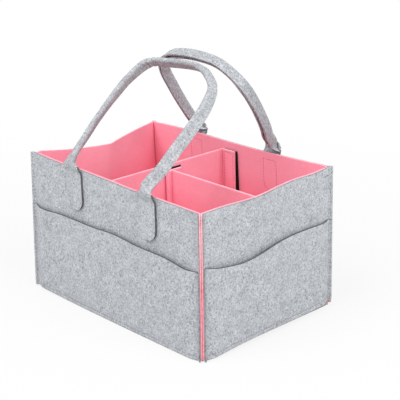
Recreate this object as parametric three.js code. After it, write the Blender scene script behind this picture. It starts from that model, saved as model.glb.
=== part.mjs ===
import * as THREE from 'three';

// Driving sizes in millimetres. X runs along the long side, Y from front to back, Z up from the floor.
const caddyLength = 330; // between the corner seams along X
const caddyDepth = 225; // between the corner seams along Y
const rimHeight = 185;

const outerFelt = 3;
const liningFelt = 2;
const pocketFelt = 3;
const dividerFelt = 3;
const tapeThickness = 1.2;

const layerGap = 0.25; // between two felt layers that lie on each other
const seamGap = 0.2; // between the two linings that meet inside a corner seam
const seatGap = 0.05; // under a tape that is sewn to a flat piece
const tapeGap = 0.3; // between a hook tape and the loop tape it faces
const restGap = 0.3; // under a divider that stands on the floor lining
const foldGap = 0.3; // between a divider and its turned flap, beside the fold

const seamReach = 7; // how far the corner seams stand out past the lining's corner
const seamRound = 3.8; // how much of that reach the rounded seam foot loses
const seamRoundHeight = 6;
const footRound = 1.8; // rounding of the felt where the front and back turn under
const footRoundHeight = 3;
const footBowHeight = 60; // the front and back bow outwards at the foot, up to here
const nearRimStep = 1; // the outer felt stops this far below the lining's top edge in front and right
const farRimStep = 2.4; // and at the back and left
const endFoot = 3.2; // cut edge of the two ends above the floor

const pocketHeight = 119; // top edge of the outside pockets above the floor

const tabBelly = 31; // widest part of a handle's sewn end
const hingeRise = 4; // fold line of a handle above the rim
const hingeOffset = 1.9; // fold line outside the sewn end's outer face
const hingeClearance = 0.35;
const rootFelt = 3; // thickness of the single band at the fold line
const rootInset = 0.5; // the band at the fold line is this much narrower each side than the neck
const stripWidth = 14.5; // the handle's band folded in half
const stripThickness = 7.5;


const longDividerX = -19; // middle plane of the long divider where it crosses Y = 0
const longDividerSkew = 0.04; // its drift along X for each millimetre of Y
const longDividerTop = 176;
const shortDividerY = 3;
const shortDividerTop = 170;
const longFlapWidth = 20;
const shortFlapWidth = 15;
const flapInset = 0.6; // a flap stops this far below its divider's top edge
const tapeInset = 0.6; // from the edges of a flap to the edges of its hook tape
const loopOverhang = 1; // how far a loop tape on the lining runs on past the flap
const loopRise = 1.5; // how far the loop tape on the long divider shows above the flap it holds

// Rim position of each corner against its foot, as the soft walls lean: x and y.
const cornerLean = {
  frontLeft: [0.4, 6.4],
  frontRight: [0, -1.2],
  backRight: [-1.6, 1.7],
  backLeft: [-2.4, -2],
};

// How far each corner's foot is lifted off the floor, and its rim pressed down.
const cornerLift = { frontLeft: 2.4, frontRight: 0, backRight: 2.4, backLeft: 1.5 };
const cornerDrop = { frontLeft: 0, frontRight: 0, backRight: 0, backLeft: 2.4 };
const cornerFade = 0.42; // share of a wall over which a lift or a drop dies out

// Inward bows of the walls at the rim: depth, place along the wall and half width, as shares of it.
const frontBow = { depth: 3, place: 0.32, halfWidth: 0.32 };
const backBow = { depth: 5, place: 0.44, halfWidth: 0.44 };
const rightBow = { depth: -5.5, place: 0.36, halfWidth: 0.26 };
const leftFold = { depth: 38, place: 0.54 };

// Outward bows at the foot, in the same terms.
const frontFootBow = { depth: -3.4, place: 0.68, halfWidth: 0.64 };
const backFootBow = { depth: -2, place: 0.5, halfWidth: 0.5 };

// The four sewn ends of the handles: middle along X, width at the rim, length below the rim, and the
// run of strap over which the flat band narrows to the folded one.
const sewnEnds = {
  front: {
    left: { x: -68.5, neck: 30.5, length: 53, flare: 22 },
    right: { x: 71, neck: 26, length: 56, flare: 13 },
  },
  back: {
    left: { x: -75, neck: 26, length: 56, flare: 14 },
    right: { x: 63, neck: 26, length: 56, flare: 16 },
  },
};

// Free stretch of each handle: x, y, height above the rim and the band's turn about the route in degrees.
const frontRoute = [
  [-72, -101, 24, -30],
  [-73, -88, 36, -39],
  [-73.5, -66, 54, -41],
  [-74, -38, 77, -47],
  [-73, -11, 97, -60],
  [-61, 13, 115, -74],
  [-32, 24, 118, -84],
  [5, 25.5, 120, -90],
  [42, 18, 114.5, -88],
  [66, 3, 106, -78],
  [78.5, -20, 90.5, -62],
  [82.5, -45, 71.5, -50],
  [81.5, -70, 50.5, -40],
  [77, -92, 29, -28],
  [74, -104, 19, -18],
];
const backRoute = [
  [67, 104, 17, 40],
  [70.5, 95, 27, 70],
  [74, 87, 40, 88],
  [76.5, 76, 58, 90],
  [76.5, 64, 78.5, 90],
  [73, 52.5, 97.5, 90],
  [58, 46.5, 113.5, 90],
  [35, 43, 125.5, 90],
  [6.5, 41, 129.5, 90],
  [-25.5, 42, 128.5, 90],
  [-51, 44, 123.5, 90],
  [-70, 48.5, 111, 90],
  [-77.5, 56.5, 94, 88],
  [-78.5, 68.5, 73.5, 86],
  [-78, 80.5, 53, 82],
  [-76.5, 92, 34, 70],
  [-75.5, 102, 20, 40],
];

const grey = 0xb9bbc0;
const strapGrey = 0xc0bfc4;
const pink = 0xfb8ea6;
const black = 0x1b1b1e;

// Sizes worked out from the driving ones.
const cornerX = caddyLength / 2 - seamReach / Math.SQRT2;
const cornerY = caddyDepth / 2 - seamReach / Math.SQRT2;
const liningInner = seamGap / 2;
const liningOuter = liningInner + liningFelt;
const outerInner = liningOuter + layerGap;
const outerOuter = outerInner + outerFelt;
const pocketInner = outerOuter + layerGap;
const pocketOuter = pocketInner + pocketFelt;
const mitre = Math.tan(Math.PI / 8);
const floorTop = outerFelt + layerGap + liningFelt;

const group = new THREE.Group();

function addMesh(name, geometry, color) {
  const material = new THREE.MeshStandardMaterial({ color, roughness: 0.95, metalness: 0 });
  const mesh = new THREE.Mesh(geometry, material);
  mesh.name = name;
  group.add(mesh);
}

function signedVolume(points, faces) {
  let volume = 0;
  for (const [a, b, c] of faces) {
    const cross = new THREE.Vector3().crossVectors(points[b], points[c]);
    volume += points[a].dot(cross) / 6;
  }
  return volume;
}

function solidFrom(points, faces) {
  const outward = signedVolume(points, faces) > 0;
  const index = faces.flatMap(([a, b, c]) => (outward ? [a, b, c] : [a, c, b]));
  const places = points.flatMap((p) => [p.x, p.y, p.z]);
  const geometry = new THREE.BufferGeometry();
  geometry.setAttribute('position', new THREE.Float32BufferAttribute(places, 3));
  geometry.setIndex(index);
  geometry.computeVertexNormals();
  return geometry;
}

// A closed sheet between two grids of points; pointAt(row, column, face) gives each one.
function sheet(rows, columns, pointAt) {
  const points = [];
  const faces = [];
  for (const face of [0, 1]) {
    for (let r = 0; r < rows; r++) {
      for (let c = 0; c < columns; c++) {
        points.push(pointAt(r, c, face));
      }
    }
  }
  const at = (r, c, face) => face * rows * columns + r * columns + c;
  const quad = (a, b, c, d) => faces.push([a, b, c], [a, c, d]);
  for (let r = 0; r + 1 < rows; r++) {
    for (let c = 0; c + 1 < columns; c++) {
      quad(at(r, c, 0), at(r, c + 1, 0), at(r + 1, c + 1, 0), at(r + 1, c, 0));
      quad(at(r, c, 1), at(r + 1, c, 1), at(r + 1, c + 1, 1), at(r, c + 1, 1));
    }
  }
  for (let c = 0; c + 1 < columns; c++) {
    quad(at(0, c, 0), at(0, c, 1), at(0, c + 1, 1), at(0, c + 1, 0));
    quad(at(rows - 1, c, 0), at(rows - 1, c + 1, 0), at(rows - 1, c + 1, 1), at(rows - 1, c, 1));
  }
  for (let r = 0; r + 1 < rows; r++) {
    quad(at(r, 0, 0), at(r + 1, 0, 0), at(r + 1, 0, 1), at(r, 0, 1));
    quad(at(r, columns - 1, 0), at(r, columns - 1, 1), at(r + 1, columns - 1, 1), at(r + 1, columns - 1, 0));
  }
  return solidFrom(points, faces);
}

// A closed tube through rings of points, with a flat cap at each end.
function tube(rings) {
  const sides = rings[0].length;
  const points = rings.flat();
  const faces = [];
  for (let r = 0; r + 1 < rings.length; r++) {
    for (let k = 0; k < sides; k++) {
      const a = r * sides + k;
      const b = r * sides + ((k + 1) % sides);
      faces.push([a, b, b + sides], [a, b + sides, a + sides]);
    }
  }
  const last = (rings.length - 1) * sides;
  for (let k = 1; k + 1 < sides; k++) {
    faces.push([0, k + 1, k], [last, last + k, last + k + 1]);
  }
  return solidFrom(points, faces);
}

function box(x0, x1, y0, y1, z0, z1) {
  const geometry = new THREE.BoxGeometry(x1 - x0, y1 - y0, z1 - z0);
  geometry.translate((x0 + x1) / 2, (y0 + y1) / 2, (z0 + z1) / 2);
  return geometry;
}

function extrudedOutline(outline, z0, z1) {
  const shape = new THREE.Shape(outline.map(([x, y]) => new THREE.Vector2(x, y)));
  const geometry = new THREE.ExtrudeGeometry(shape, { depth: z1 - z0, bevelEnabled: false });
  geometry.translate(0, 0, z0);
  return geometry;
}

function spread(from, to, count) {
  return Array.from({ length: count }, (unused, k) => from + ((to - from) * k) / (count - 1));
}

// Soft walls: each runs between two corners, its outside on the right of its direction.
const corners = {
  frontLeft: [-cornerX, -cornerY],
  frontRight: [cornerX, -cornerY],
  backRight: [cornerX, cornerY],
  backLeft: [-cornerX, cornerY],
};

function bell(u, bow) {
  const off = Math.min(Math.abs(u - bow.place) / bow.halfWidth, 1);
  return (bow.depth * (1 + Math.cos(Math.PI * off))) / 2;
}

function softRise(z) {
  return (z / rimHeight) ** 1.5;
}

function foldRise(z) {
  return Math.sin((Math.PI / 2) * Math.min(z / rimHeight, 1));
}

function footFade(z) {
  return Math.max(1 - z / footBowHeight, 0) ** 2;
}

const walls = {
  front: {
    from: 'frontLeft',
    to: 'frontRight',
    along: [1, 0],
    out: [0, -1],
    turned: true,
    step: nearRimStep,
    foot: 0,
    inward: (u, z) => bell(u, frontBow) * softRise(z) + bell(u, frontFootBow) * footFade(z),
  },
  right_end: {
    from: 'frontRight',
    to: 'backRight',
    along: [0, 1],
    out: [1, 0],
    turned: false,
    step: nearRimStep,
    foot: endFoot,
    inward: (u, z) => bell(u, rightBow) * softRise(z),
  },
  back: {
    from: 'backRight',
    to: 'backLeft',
    along: [-1, 0],
    out: [0, 1],
    turned: true,
    step: farRimStep,
    foot: 0,
    inward: (u, z) => bell(u, backBow) * softRise(z) + bell(u, backFootBow) * footFade(z),
  },
  left_end: {
    from: 'backLeft',
    to: 'frontLeft',
    along: [0, -1],
    out: [-1, 0],
    turned: false,
    step: farRimStep,
    foot: endFoot,
    inward: (u, z) => {
      const share = u < leftFold.place ? u / leftFold.place : (1 - u) / (1 - leftFold.place);
      return leftFold.depth * share * foldRise(z);
    },
  },
};

function cornerAt(name, z) {
  const lean = z / rimHeight;
  return [corners[name][0] + cornerLean[name][0] * lean, corners[name][1] + cornerLean[name][1] * lean];
}

// Share along a wall of a place given by its X, or by its Y on the two ends.
function shareOf(wall, place) {
  const share = wall.along[0] === 0 ? (place + cornerY) / (2 * cornerY) : (place + cornerX) / (2 * cornerX);
  return wall.along[0] + wall.along[1] > 0 ? share : 1 - share;
}

// A point on a wall: u from 0 to 1 between the corners, depth outwards from the lining's inner face.
function wallPoint(wall, u, z, depth) {
  const a = cornerAt(wall.from, z);
  const b = cornerAt(wall.to, z);
  const push = depth - wall.inward(u, z);
  return new THREE.Vector3(
    a[0] + (b[0] - a[0]) * u + wall.out[0] * push,
    a[1] + (b[1] - a[1]) * u + wall.out[1] * push,
    z
  );
}

// A point in a corner seam, which stands out along the corner's diagonal; end is 0 or 1.
function seamPoint(wall, end, reach, z, depth) {
  const [x, y] = cornerAt(end === 0 ? wall.from : wall.to, z);
  const sign = end === 0 ? -1 : 1;
  const diagonal = wall.out.map((o, k) => (o + sign * wall.along[k]) / Math.SQRT2);
  const across = wall.out.map((o, k) => (o - sign * wall.along[k]) / Math.SQRT2);
  return new THREE.Vector3(
    x + diagonal[0] * reach + across[0] * depth,
    y + diagonal[1] * reach + across[1] * depth,
    z
  );
}

// A value given at each corner, dying out along the wall between two of them.
function fromCorners(wall, u, values) {
  const nearStart = Math.max(1 - u / cornerFade, 0);
  const nearEnd = Math.max(1 - (1 - u) / cornerFade, 0);
  return values[wall.from] * nearStart ** 2 + values[wall.to] * nearEnd ** 2;
}

function footAt(wall, u) {
  return wall.foot + fromCorners(wall, u, cornerLift);
}

function rimAt(wall, u) {
  return rimHeight - fromCorners(wall, u, cornerDrop);
}

function rounding(amount, height, aboveFoot) {
  const drop = Math.max(1 - aboveFoot / height, 0);
  return amount * (1 - Math.sqrt(1 - drop * drop));
}

// One felt layer of a wall with its share of both corner seams.
// depthAt(u, z, face) gives the inner and outer face, heightAt(u, share) the height of each row.
function wallLayer(wall, shares, stations, depthAt, heightAt) {
  const columns = stations.length + 4;
  return sheet(shares.length, columns, (r, c, face) => {
    const u = c < 2 ? 0 : c >= columns - 2 ? 1 : stations[c - 2];
    const z = heightAt(u, shares[r]);
    const depth = depthAt(u, z, face);
    if (c === 0 || c === columns - 1) {
      const reach = seamReach - rounding(seamRound, seamRoundHeight, z - footAt(wall, u));
      return seamPoint(wall, u, reach, z, depth);
    }
    if (c === 1 || c === columns - 2) {
      return seamPoint(wall, u, depth * mitre, z, depth);
    }
    return wallPoint(wall, u, z, depth);
  });
}

const wallStations = {
  front: spread(0.05, 0.95, 13),
  right_end: spread(0.06, 0.94, 11),
  back: spread(0.05, 0.95, 13),
  left_end: [0.06, 0.18, 0.3, 0.42, 0.5, leftFold.place, 0.58, 0.66, 0.78, 0.88, 0.94],
};

const footShares = [0, 0.004, 0.01, 0.018, 0.034];
const wallShares = [0.14, 0.3, 0.45, 0.6, 0.75, 0.88, 1];
const liningFoot = outerFelt + layerGap;

// Outer face of a layer whose foot may turn under; the ends' felt is cut square.
function roundedFoot(wall, u, z, depth) {
  return wall.turned ? depth - rounding(footRound, footRoundHeight, z - footAt(wall, u)) : depth;
}

for (const [name, wall] of Object.entries(walls)) {
  addMesh(
    `${name}_panel`,
    wallLayer(
      wall,
      [...footShares, ...wallShares],
      wallStations[name],
      (u, z, face) => (face === 0 ? outerInner : roundedFoot(wall, u, z, outerOuter)),
      (u, share) => footAt(wall, u) + share * (rimAt(wall, u) - wall.step - footAt(wall, u))
    ),
    grey
  );
  addMesh(
    `${name}_lining`,
    wallLayer(
      wall,
      [0, 0.034, ...wallShares],
      wallStations[name],
      (u, z, face) => (face === 0 ? liningInner : liningOuter),
      (u, share) => {
        const foot = Math.max(footAt(wall, u) + layerGap, liningFoot);
        return foot + share * (rimAt(wall, u) - foot);
      }
    ),
    pink
  );
}

// Outside pockets: sewn into the corner seams and along the foot, eased off the wall at the mouth.
const pockets = {
  front: { ease: 4.9, dip: [0.88, 1.12], sag: -8 },
  right_end: { ease: 5.2, far: 2.4, dip: [0, 0.5], sag: -4.5 },
  back: { ease: 4.9, dip: [-0.12, 0.12], sag: -8 },
  left_end: { ease: 4.9, dip: [0.5, 1], sag: -4.5 },
};

function plateau(u) {
  const ramp = Math.min(Math.min(u, 1 - u) / 0.1, 1);
  return Math.sin((Math.PI / 2) * ramp);
}

function pocketEase(pocket, u, z) {
  const v = Math.min(z / pocketHeight, 1);
  const far = pocket.far ?? pocket.ease;
  const blend = Math.min(Math.max((u - 0.5) / 0.14, 0), 1);
  const ease = pocket.ease + (far - pocket.ease) * blend;
  return ease * plateau(u) * (1 - (1 - v) ** 3);
}

function pocketTop(pocket, u) {
  const [low, high] = pocket.dip;
  const middle = (low + high) / 2;
  const off = Math.min(Math.abs(u - middle) / ((high - low) / 2 + 0.08), 1);
  return pocketHeight + (pocket.sag * (1 + Math.cos(Math.PI * off))) / 2;
}

const pocketShares = [0, 0.006, 0.015, 0.028, 0.05, 0.12, 0.22, 0.38, 0.58, 0.8, 1];

for (const [name, pocket] of Object.entries(pockets)) {
  const wall = walls[name];
  addMesh(
    `${name}_pocket`,
    wallLayer(
      wall,
      pocketShares,
      wallStations[name],
      (u, z, face) => {
        const depth = face === 0 ? pocketInner : roundedFoot(wall, u, z, pocketOuter);
        return depth + pocketEase(pocket, u, z);
      },
      (u, share) => {
        const foot = footAt(wall, u);
        return foot + share * (pocketTop(pocket, u) - foot);
      }
    ),
    grey
  );
}

// Floor: the outer felt and the lining, following the foot of the walls and cut off at the corners.
function floorOutline(depth, z) {
  const outline = [];
  for (const [name, wall] of Object.entries(walls)) {
    const length = wall.turned ? 2 * cornerX : 2 * cornerY;
    const cut = (layerGap + Math.max(-depth, 0) + Math.max(depth, 0) * mitre) / length;
    const start = wallPoint(wall, cut, z, depth + wall.inward(cut, z));
    const end = wallPoint(wall, 1 - cut, z, depth + wall.inward(1 - cut, z));
    const bowed = wallStations[name].map((u) => wallPoint(wall, u, z, depth));
    outline.push(...[start, ...bowed, end].map((point) => [point.x, point.y]));
  }
  return outline;
}
addMesh('base_panel', extrudedOutline(floorOutline(outerInner - layerGap, outerFelt), 0, outerFelt), grey);
addMesh('base_lining', extrudedOutline(floorOutline(-layerGap, floorTop), liningFoot, floorTop), pink);

// Handles: a sewn end on the wall, a fold line at the rim and the strap folded in half beyond it.
const hingeDepth = pocketOuter + hingeOffset;
const hingeHeight = rimHeight + hingeRise;
const tabTop = hingeHeight - rootFelt / 2 - hingeClearance;

function tabHalfWidth(end, z) {
  const round = tabBelly / 2;
  const above = z - (rimHeight - end.length);
  if (above < round) {
    return Math.max(Math.sqrt(round * round - (round - above) ** 2), 2.5);
  }
  const narrowing = Math.max(above / end.length - 0.5, 0) * 2;
  return round + ((end.neck - tabBelly) / 2) * Math.min(narrowing, 1) ** 2;
}

function tabGeometry(wall, end) {
  const foot = rimHeight - end.length;
  const rises = [0.1, 1, 3, 6.5, 11, tabBelly / 2, end.length * 0.5, end.length * 0.7, end.length * 0.87];
  const levels = [...rises.map((rise) => foot + rise), rimHeight, tabTop];
  const across = spread(-1, 1, 7);
  return sheet(levels.length, across.length, (r, c, face) => {
    const z = levels[r];
    const u = shareOf(wall, end.x + across[c] * tabHalfWidth(end, z));
    return wallPoint(wall, u, Math.min(z, rimHeight), face === 0 ? pocketInner : pocketOuter).setZ(z);
  });
}

function hingePoint(wall, end) {
  return wallPoint(wall, shareOf(wall, end.x), rimHeight, hingeDepth).setZ(hingeHeight);
}

function curvePoint(list, k, t) {
  const a = list[k - 1] ?? list[k].map((v, j) => 2 * v - list[k + 1][j]);
  const b = list[k];
  const c = list[k + 1];
  const d = list[k + 2] ?? c.map((v, j) => 2 * v - b[j]);
  return b.map((v, j) => {
    const cubic = -a[j] + 3 * b[j] - 3 * c[j] + d[j];
    const square = 2 * a[j] - 5 * b[j] + 4 * c[j] - d[j];
    return 0.5 * (2 * b[j] + (c[j] - a[j]) * t + square * t * t + cubic * t * t * t);
  });
}

// Rings along the strap: a flat band at both fold lines, folded in half and twisted between them.
function strapRings(route, start, end, roots) {
  const rise = 5;
  const list = [
    [start.x, start.y, start.z, 0],
    [start.x, start.y, start.z + rise, 0],
    ...route.map(([x, y, above, turn]) => [x, y, rimHeight + above, turn]),
    [end.x, end.y, end.z + rise, 0],
    [end.x, end.y, end.z, 0],
  ];
  const samples = [];
  for (let k = 0; k + 1 < list.length; k++) {
    for (const t of [0, 1 / 3, 2 / 3]) {
      samples.push(curvePoint(list, k, t));
    }
  }
  samples.push(list[list.length - 1]);
  const path = samples.map(([x, y, z]) => new THREE.Vector3(x, y, z));
  const run = [0];
  for (let k = 1; k < path.length; k++) {
    run.push(run[k - 1] + path[k].distanceTo(path[k - 1]));
  }
  const total = run[run.length - 1];
  const foldLine = end.clone().sub(start).setZ(0).multiplyScalar(Math.sign(end.x - start.x));
  const inwards = new THREE.Vector3(0, 0, 1).cross(foldLine).normalize();
  const ring = (centre, tangent, twist, width, thickness) => {
    const back = inwards.clone().addScaledVector(tangent, -tangent.dot(inwards)).normalize();
    const side = new THREE.Vector3().crossVectors(back, tangent);
    const wide = side.clone().multiplyScalar(Math.cos(twist)).addScaledVector(back, Math.sin(twist));
    const thin = new THREE.Vector3().crossVectors(tangent, wide);
    return spread(0, 2 * Math.PI, 13).slice(0, 12).map((angle) => {
      const cos = Math.cos(angle);
      const sin = Math.sin(angle);
      const across = (Math.sign(cos) * Math.abs(cos) ** 0.7 * width) / 2;
      const up = (Math.sign(sin) * Math.abs(sin) ** 0.7 * thickness) / 2;
      return centre.clone().addScaledVector(wide, across).addScaledVector(thin, up);
    });
  };
  const rings = [];
  const barrel = [0.97, 0.8, 0.4].map((share) => share * (rootFelt / 2));
  const chord = (drop) => 2 * Math.sqrt((rootFelt / 2) ** 2 - drop * drop);
  for (const drop of barrel) {
    const centre = start.clone().setZ(start.z - drop);
    rings.push(ring(centre, new THREE.Vector3(0, 0, 1), 0, roots[0].width, chord(drop)));
  }
  path.forEach((centre, k) => {
    const before = path[Math.max(k - 1, 0)];
    const after = path[Math.min(k + 1, path.length - 1)];
    const tangent = after.clone().sub(before).normalize();
    const root = roots[run[k] < total / 2 ? 0 : 1];
    const fold = Math.min(Math.min(run[k], total - run[k]) / root.flare, 1);
    const eased = fold * fold * (3 - 2 * fold);
    const width = root.width + (stripWidth - root.width) * eased;
    const thickness = rootFelt + (stripThickness - rootFelt) * eased;
    rings.push(ring(centre, tangent, (samples[k][3] * Math.PI) / 180, width, thickness));
  });
  for (const drop of barrel.reverse()) {
    const centre = end.clone().setZ(end.z - drop);
    rings.push(ring(centre, new THREE.Vector3(0, 0, -1), 0, roots[1].width, chord(drop)));
  }
  return rings;
}

const handles = {
  front: { route: frontRoute, order: ['left', 'right'] },
  back: { route: backRoute, order: ['right', 'left'] },
};

for (const [name, handle] of Object.entries(handles)) {
  const wall = walls[name];
  for (const side of handle.order) {
    addMesh(`${name}_tab_${side}`, tabGeometry(wall, sewnEnds[name][side]), strapGrey);
  }
  const ends = handle.order.map((side) => sewnEnds[name][side]);
  const [start, end] = ends.map((sewn) => hingePoint(wall, sewn));
  const roots = ends.map((sewn) => ({ width: sewn.neck - 2 * rootInset, flare: sewn.flare }));
  addMesh(`${name}_handle_strap`, tube(strapRings(handle.route, start, end, roots)), strapGrey);
}

// Removable dividers: each a felt panel with a flap turned aside at both ends, held by hook and loop.
const tapeStack = 2 * tapeThickness + tapeGap + seatGap;
const dividerFoot = floorTop + restGap;
const faceY = shortDividerY + dividerFelt / 2;

// The side of the long divider that the short one and all its flaps are on.
function faceXAt(y) {
  return longDividerX + longDividerSkew * y + dividerFelt / 2;
}

// A slab that lies along the long divider, from an offset outside its face.
function alongLongDivider(y0, y1, offset, thickness, z0, z1) {
  const outline = [
    [faceXAt(y0) + offset, y0],
    [faceXAt(y0) + offset + thickness, y0],
    [faceXAt(y1) + offset + thickness, y1],
    [faceXAt(y1) + offset, y1],
  ];
  return extrudedOutline(outline, z0, z1);
}

// The nearest the lining comes to the middle of the bag over a stretch of wall, up to a height.
function nearestLining(wall, from, to, height) {
  const axis = wall.along[0] === 0 ? 'x' : 'y';
  const values = [];
  for (const place of spread(from, to, 7)) {
    for (const z of spread(0, height, 12)) {
      values.push(wallPoint(wall, shareOf(wall, place), z, liningInner)[axis]);
    }
  }
  return Math.min(...values.map(Math.abs));
}

const longLoopReach = foldGap + longFlapWidth + loopOverhang;
const frontX = faceXAt(-cornerY);
const backX = faceXAt(cornerY);
const frontFace = -nearestLining(walls.front, frontX - dividerFelt, frontX + longLoopReach, longDividerTop);
const backFace = nearestLining(walls.back, backX - dividerFelt, backX + longLoopReach, longDividerTop);
const frontEnd = frontFace + layerGap + tapeStack;
const backEnd = backFace - layerGap - tapeStack;
addMesh(
  'long_divider_panel',
  alongLongDivider(frontEnd, backEnd, -dividerFelt, dividerFelt, dividerFoot, longDividerTop),
  pink
);

const shortFlapStart = faceY + foldGap;
const shortFlapEnd = shortFlapStart + shortFlapWidth;
const shortLoopEnd = shortFlapEnd + loopOverhang;
const rightFace = nearestLining(walls.right_end, shortDividerY, shortLoopEnd, shortDividerTop);
const standOff = seatGap + tapeStack;
const leftEnd = faceXAt(faceY) + standOff;
const rightEnd = rightFace - layerGap - tapeStack;
addMesh(
  'short_divider_panel',
  box(leftEnd, rightEnd, faceY - dividerFelt, faceY, dividerFoot, shortDividerTop),
  pink
);

// Flaps stand from just above the divider's foot to just below its top; hook tapes lie within them.
const flapFoot = dividerFoot + flapInset;
const tapeFoot = flapFoot + tapeInset;
const longFlapTop = longDividerTop - flapInset;
const shortFlapTop = shortDividerTop - flapInset;

// A flap that turns along X beside a wall, and its hook tape on the side that faces the wall.
function addWallFlap(name, start, y, toWall) {
  const outer = y + (toWall < 0 ? 0 : dividerFelt);
  const tape = outer + toWall * seatGap + (toWall < 0 ? -tapeThickness : 0);
  const end = start + longFlapWidth;
  addMesh(name, box(start, end, y, y + dividerFelt, flapFoot, longFlapTop), pink);
  addMesh(
    `${name}_hook_tape`,
    box(start + tapeInset, end - tapeInset, tape, tape + tapeThickness, tapeFoot, longFlapTop - tapeInset),
    black
  );
}
const frontFlapStart = faceXAt(frontEnd + dividerFelt) + foldGap;
const backFlapStart = faceXAt(backEnd) + foldGap;
addWallFlap('long_divider_back_flap', backFlapStart, backEnd - dividerFelt, 1);
addWallFlap('long_divider_front_flap', frontFlapStart, frontEnd, -1);

const hookFrom = shortFlapStart + tapeInset;
const hookTo = shortFlapEnd - tapeInset;
const hookTop = shortFlapTop - tapeInset;
const hookOffset = standOff - seatGap - tapeThickness;
addMesh(
  'short_divider_left_flap',
  alongLongDivider(shortFlapStart, shortFlapEnd, standOff, dividerFelt, flapFoot, shortFlapTop),
  pink
);
addMesh(
  'short_divider_left_flap_hook_tape',
  alongLongDivider(hookFrom, hookTo, hookOffset, tapeThickness, tapeFoot, hookTop),
  black
);
addMesh(
  'short_divider_right_flap',
  box(rightEnd - dividerFelt, rightEnd, shortFlapStart, shortFlapEnd, flapFoot, shortFlapTop),
  pink
);
const rightHook = rightEnd + seatGap;
addMesh(
  'short_divider_right_flap_hook_tape',
  box(rightHook, rightHook + tapeThickness, hookFrom, hookTo, tapeFoot, hookTop),
  black
);

// Loop tapes: three on the lining and one on the long divider.
function wallTape(wall, from, to, top) {
  const heights = spread(tapeFoot, top, 7);
  const across = spread(from, to, 4);
  return sheet(heights.length, across.length, (r, c, face) => {
    const depth = liningInner - layerGap - (face === 0 ? tapeThickness : 0);
    return wallPoint(wall, shareOf(wall, across[c]), heights[r], depth);
  });
}
const longLoopTop = longFlapTop - tapeInset;
const longLoopEnd = longFlapWidth + loopOverhang;
addMesh(
  'front_wall_loop_tape',
  wallTape(walls.front, frontFlapStart + tapeInset, frontFlapStart + longLoopEnd, longLoopTop),
  black
);
addMesh(
  'back_wall_loop_tape',
  wallTape(walls.back, backFlapStart + tapeInset, backFlapStart + longLoopEnd, longLoopTop),
  black
);
addMesh('right_wall_loop_tape', wallTape(walls.right_end, hookFrom, shortLoopEnd, hookTop), black);
addMesh(
  'divider_loop_tape',
  alongLongDivider(shortDividerY, shortFlapEnd, seatGap, tapeThickness, tapeFoot, shortFlapTop + loopRise),
  black
);

export default group;
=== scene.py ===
import math

import bpy
import numpy as np
from mathutils import Matrix, Vector


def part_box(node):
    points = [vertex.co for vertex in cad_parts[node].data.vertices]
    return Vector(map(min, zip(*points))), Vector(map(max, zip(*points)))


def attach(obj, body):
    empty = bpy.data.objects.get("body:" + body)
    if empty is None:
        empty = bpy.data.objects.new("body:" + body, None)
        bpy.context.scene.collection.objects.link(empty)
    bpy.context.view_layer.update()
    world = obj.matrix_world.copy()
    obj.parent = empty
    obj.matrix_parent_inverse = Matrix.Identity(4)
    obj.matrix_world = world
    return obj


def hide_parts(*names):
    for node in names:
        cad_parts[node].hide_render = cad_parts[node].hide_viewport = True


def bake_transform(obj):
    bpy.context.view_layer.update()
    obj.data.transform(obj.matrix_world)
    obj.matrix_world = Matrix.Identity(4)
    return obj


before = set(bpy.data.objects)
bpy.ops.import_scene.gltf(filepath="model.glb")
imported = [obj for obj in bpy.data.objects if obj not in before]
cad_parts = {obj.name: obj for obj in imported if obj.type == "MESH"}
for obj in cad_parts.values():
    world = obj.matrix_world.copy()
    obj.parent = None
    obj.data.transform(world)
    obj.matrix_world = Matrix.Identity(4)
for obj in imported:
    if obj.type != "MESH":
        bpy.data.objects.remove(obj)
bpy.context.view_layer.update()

# A felt caddy: four soft lined walls with outside pockets, two folded felt handles
# and two removable dividers on hook and loop tape.
# Shapes are worked out in millimetres and written to the meshes in metres.
mm = 0.001
print("frame loaded, nodes:", len(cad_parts))


# Materials

def srgb(code):
    # "#rrggbb" to the linear colour that a shader socket takes
    parts = [int(code[k:k + 2], 16) / 255 for k in (1, 3, 5)]
    return [c / 12.92 if c <= 0.04045 else ((c + 0.055) / 1.055) ** 2.4 for c in parts] + [1.0]


def addNode(tree, kind, settings={}, values={}, links={}):
    node = tree.nodes.new(kind)
    for key, value in settings.items():
        setattr(node, key, value)
    for key, value in values.items():
        node.inputs[key].default_value = value
    for key, source in links.items():
        tree.links.new(source, node.inputs[key])
    return node


def newMaterial(name):
    material = bpy.data.materials.new(name)
    material.use_nodes = True
    tree = material.node_tree
    tree.nodes.clear()
    return material, tree


def fillRamp(ramp, stops):
    band = ramp.color_ramp
    while len(band.elements) < len(stops):
        band.elements.new(0.5)
    for element, (place, code) in zip(band.elements, stops):
        element.position = place
        element.color = srgb(code)
    return ramp.outputs["Color"]


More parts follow.
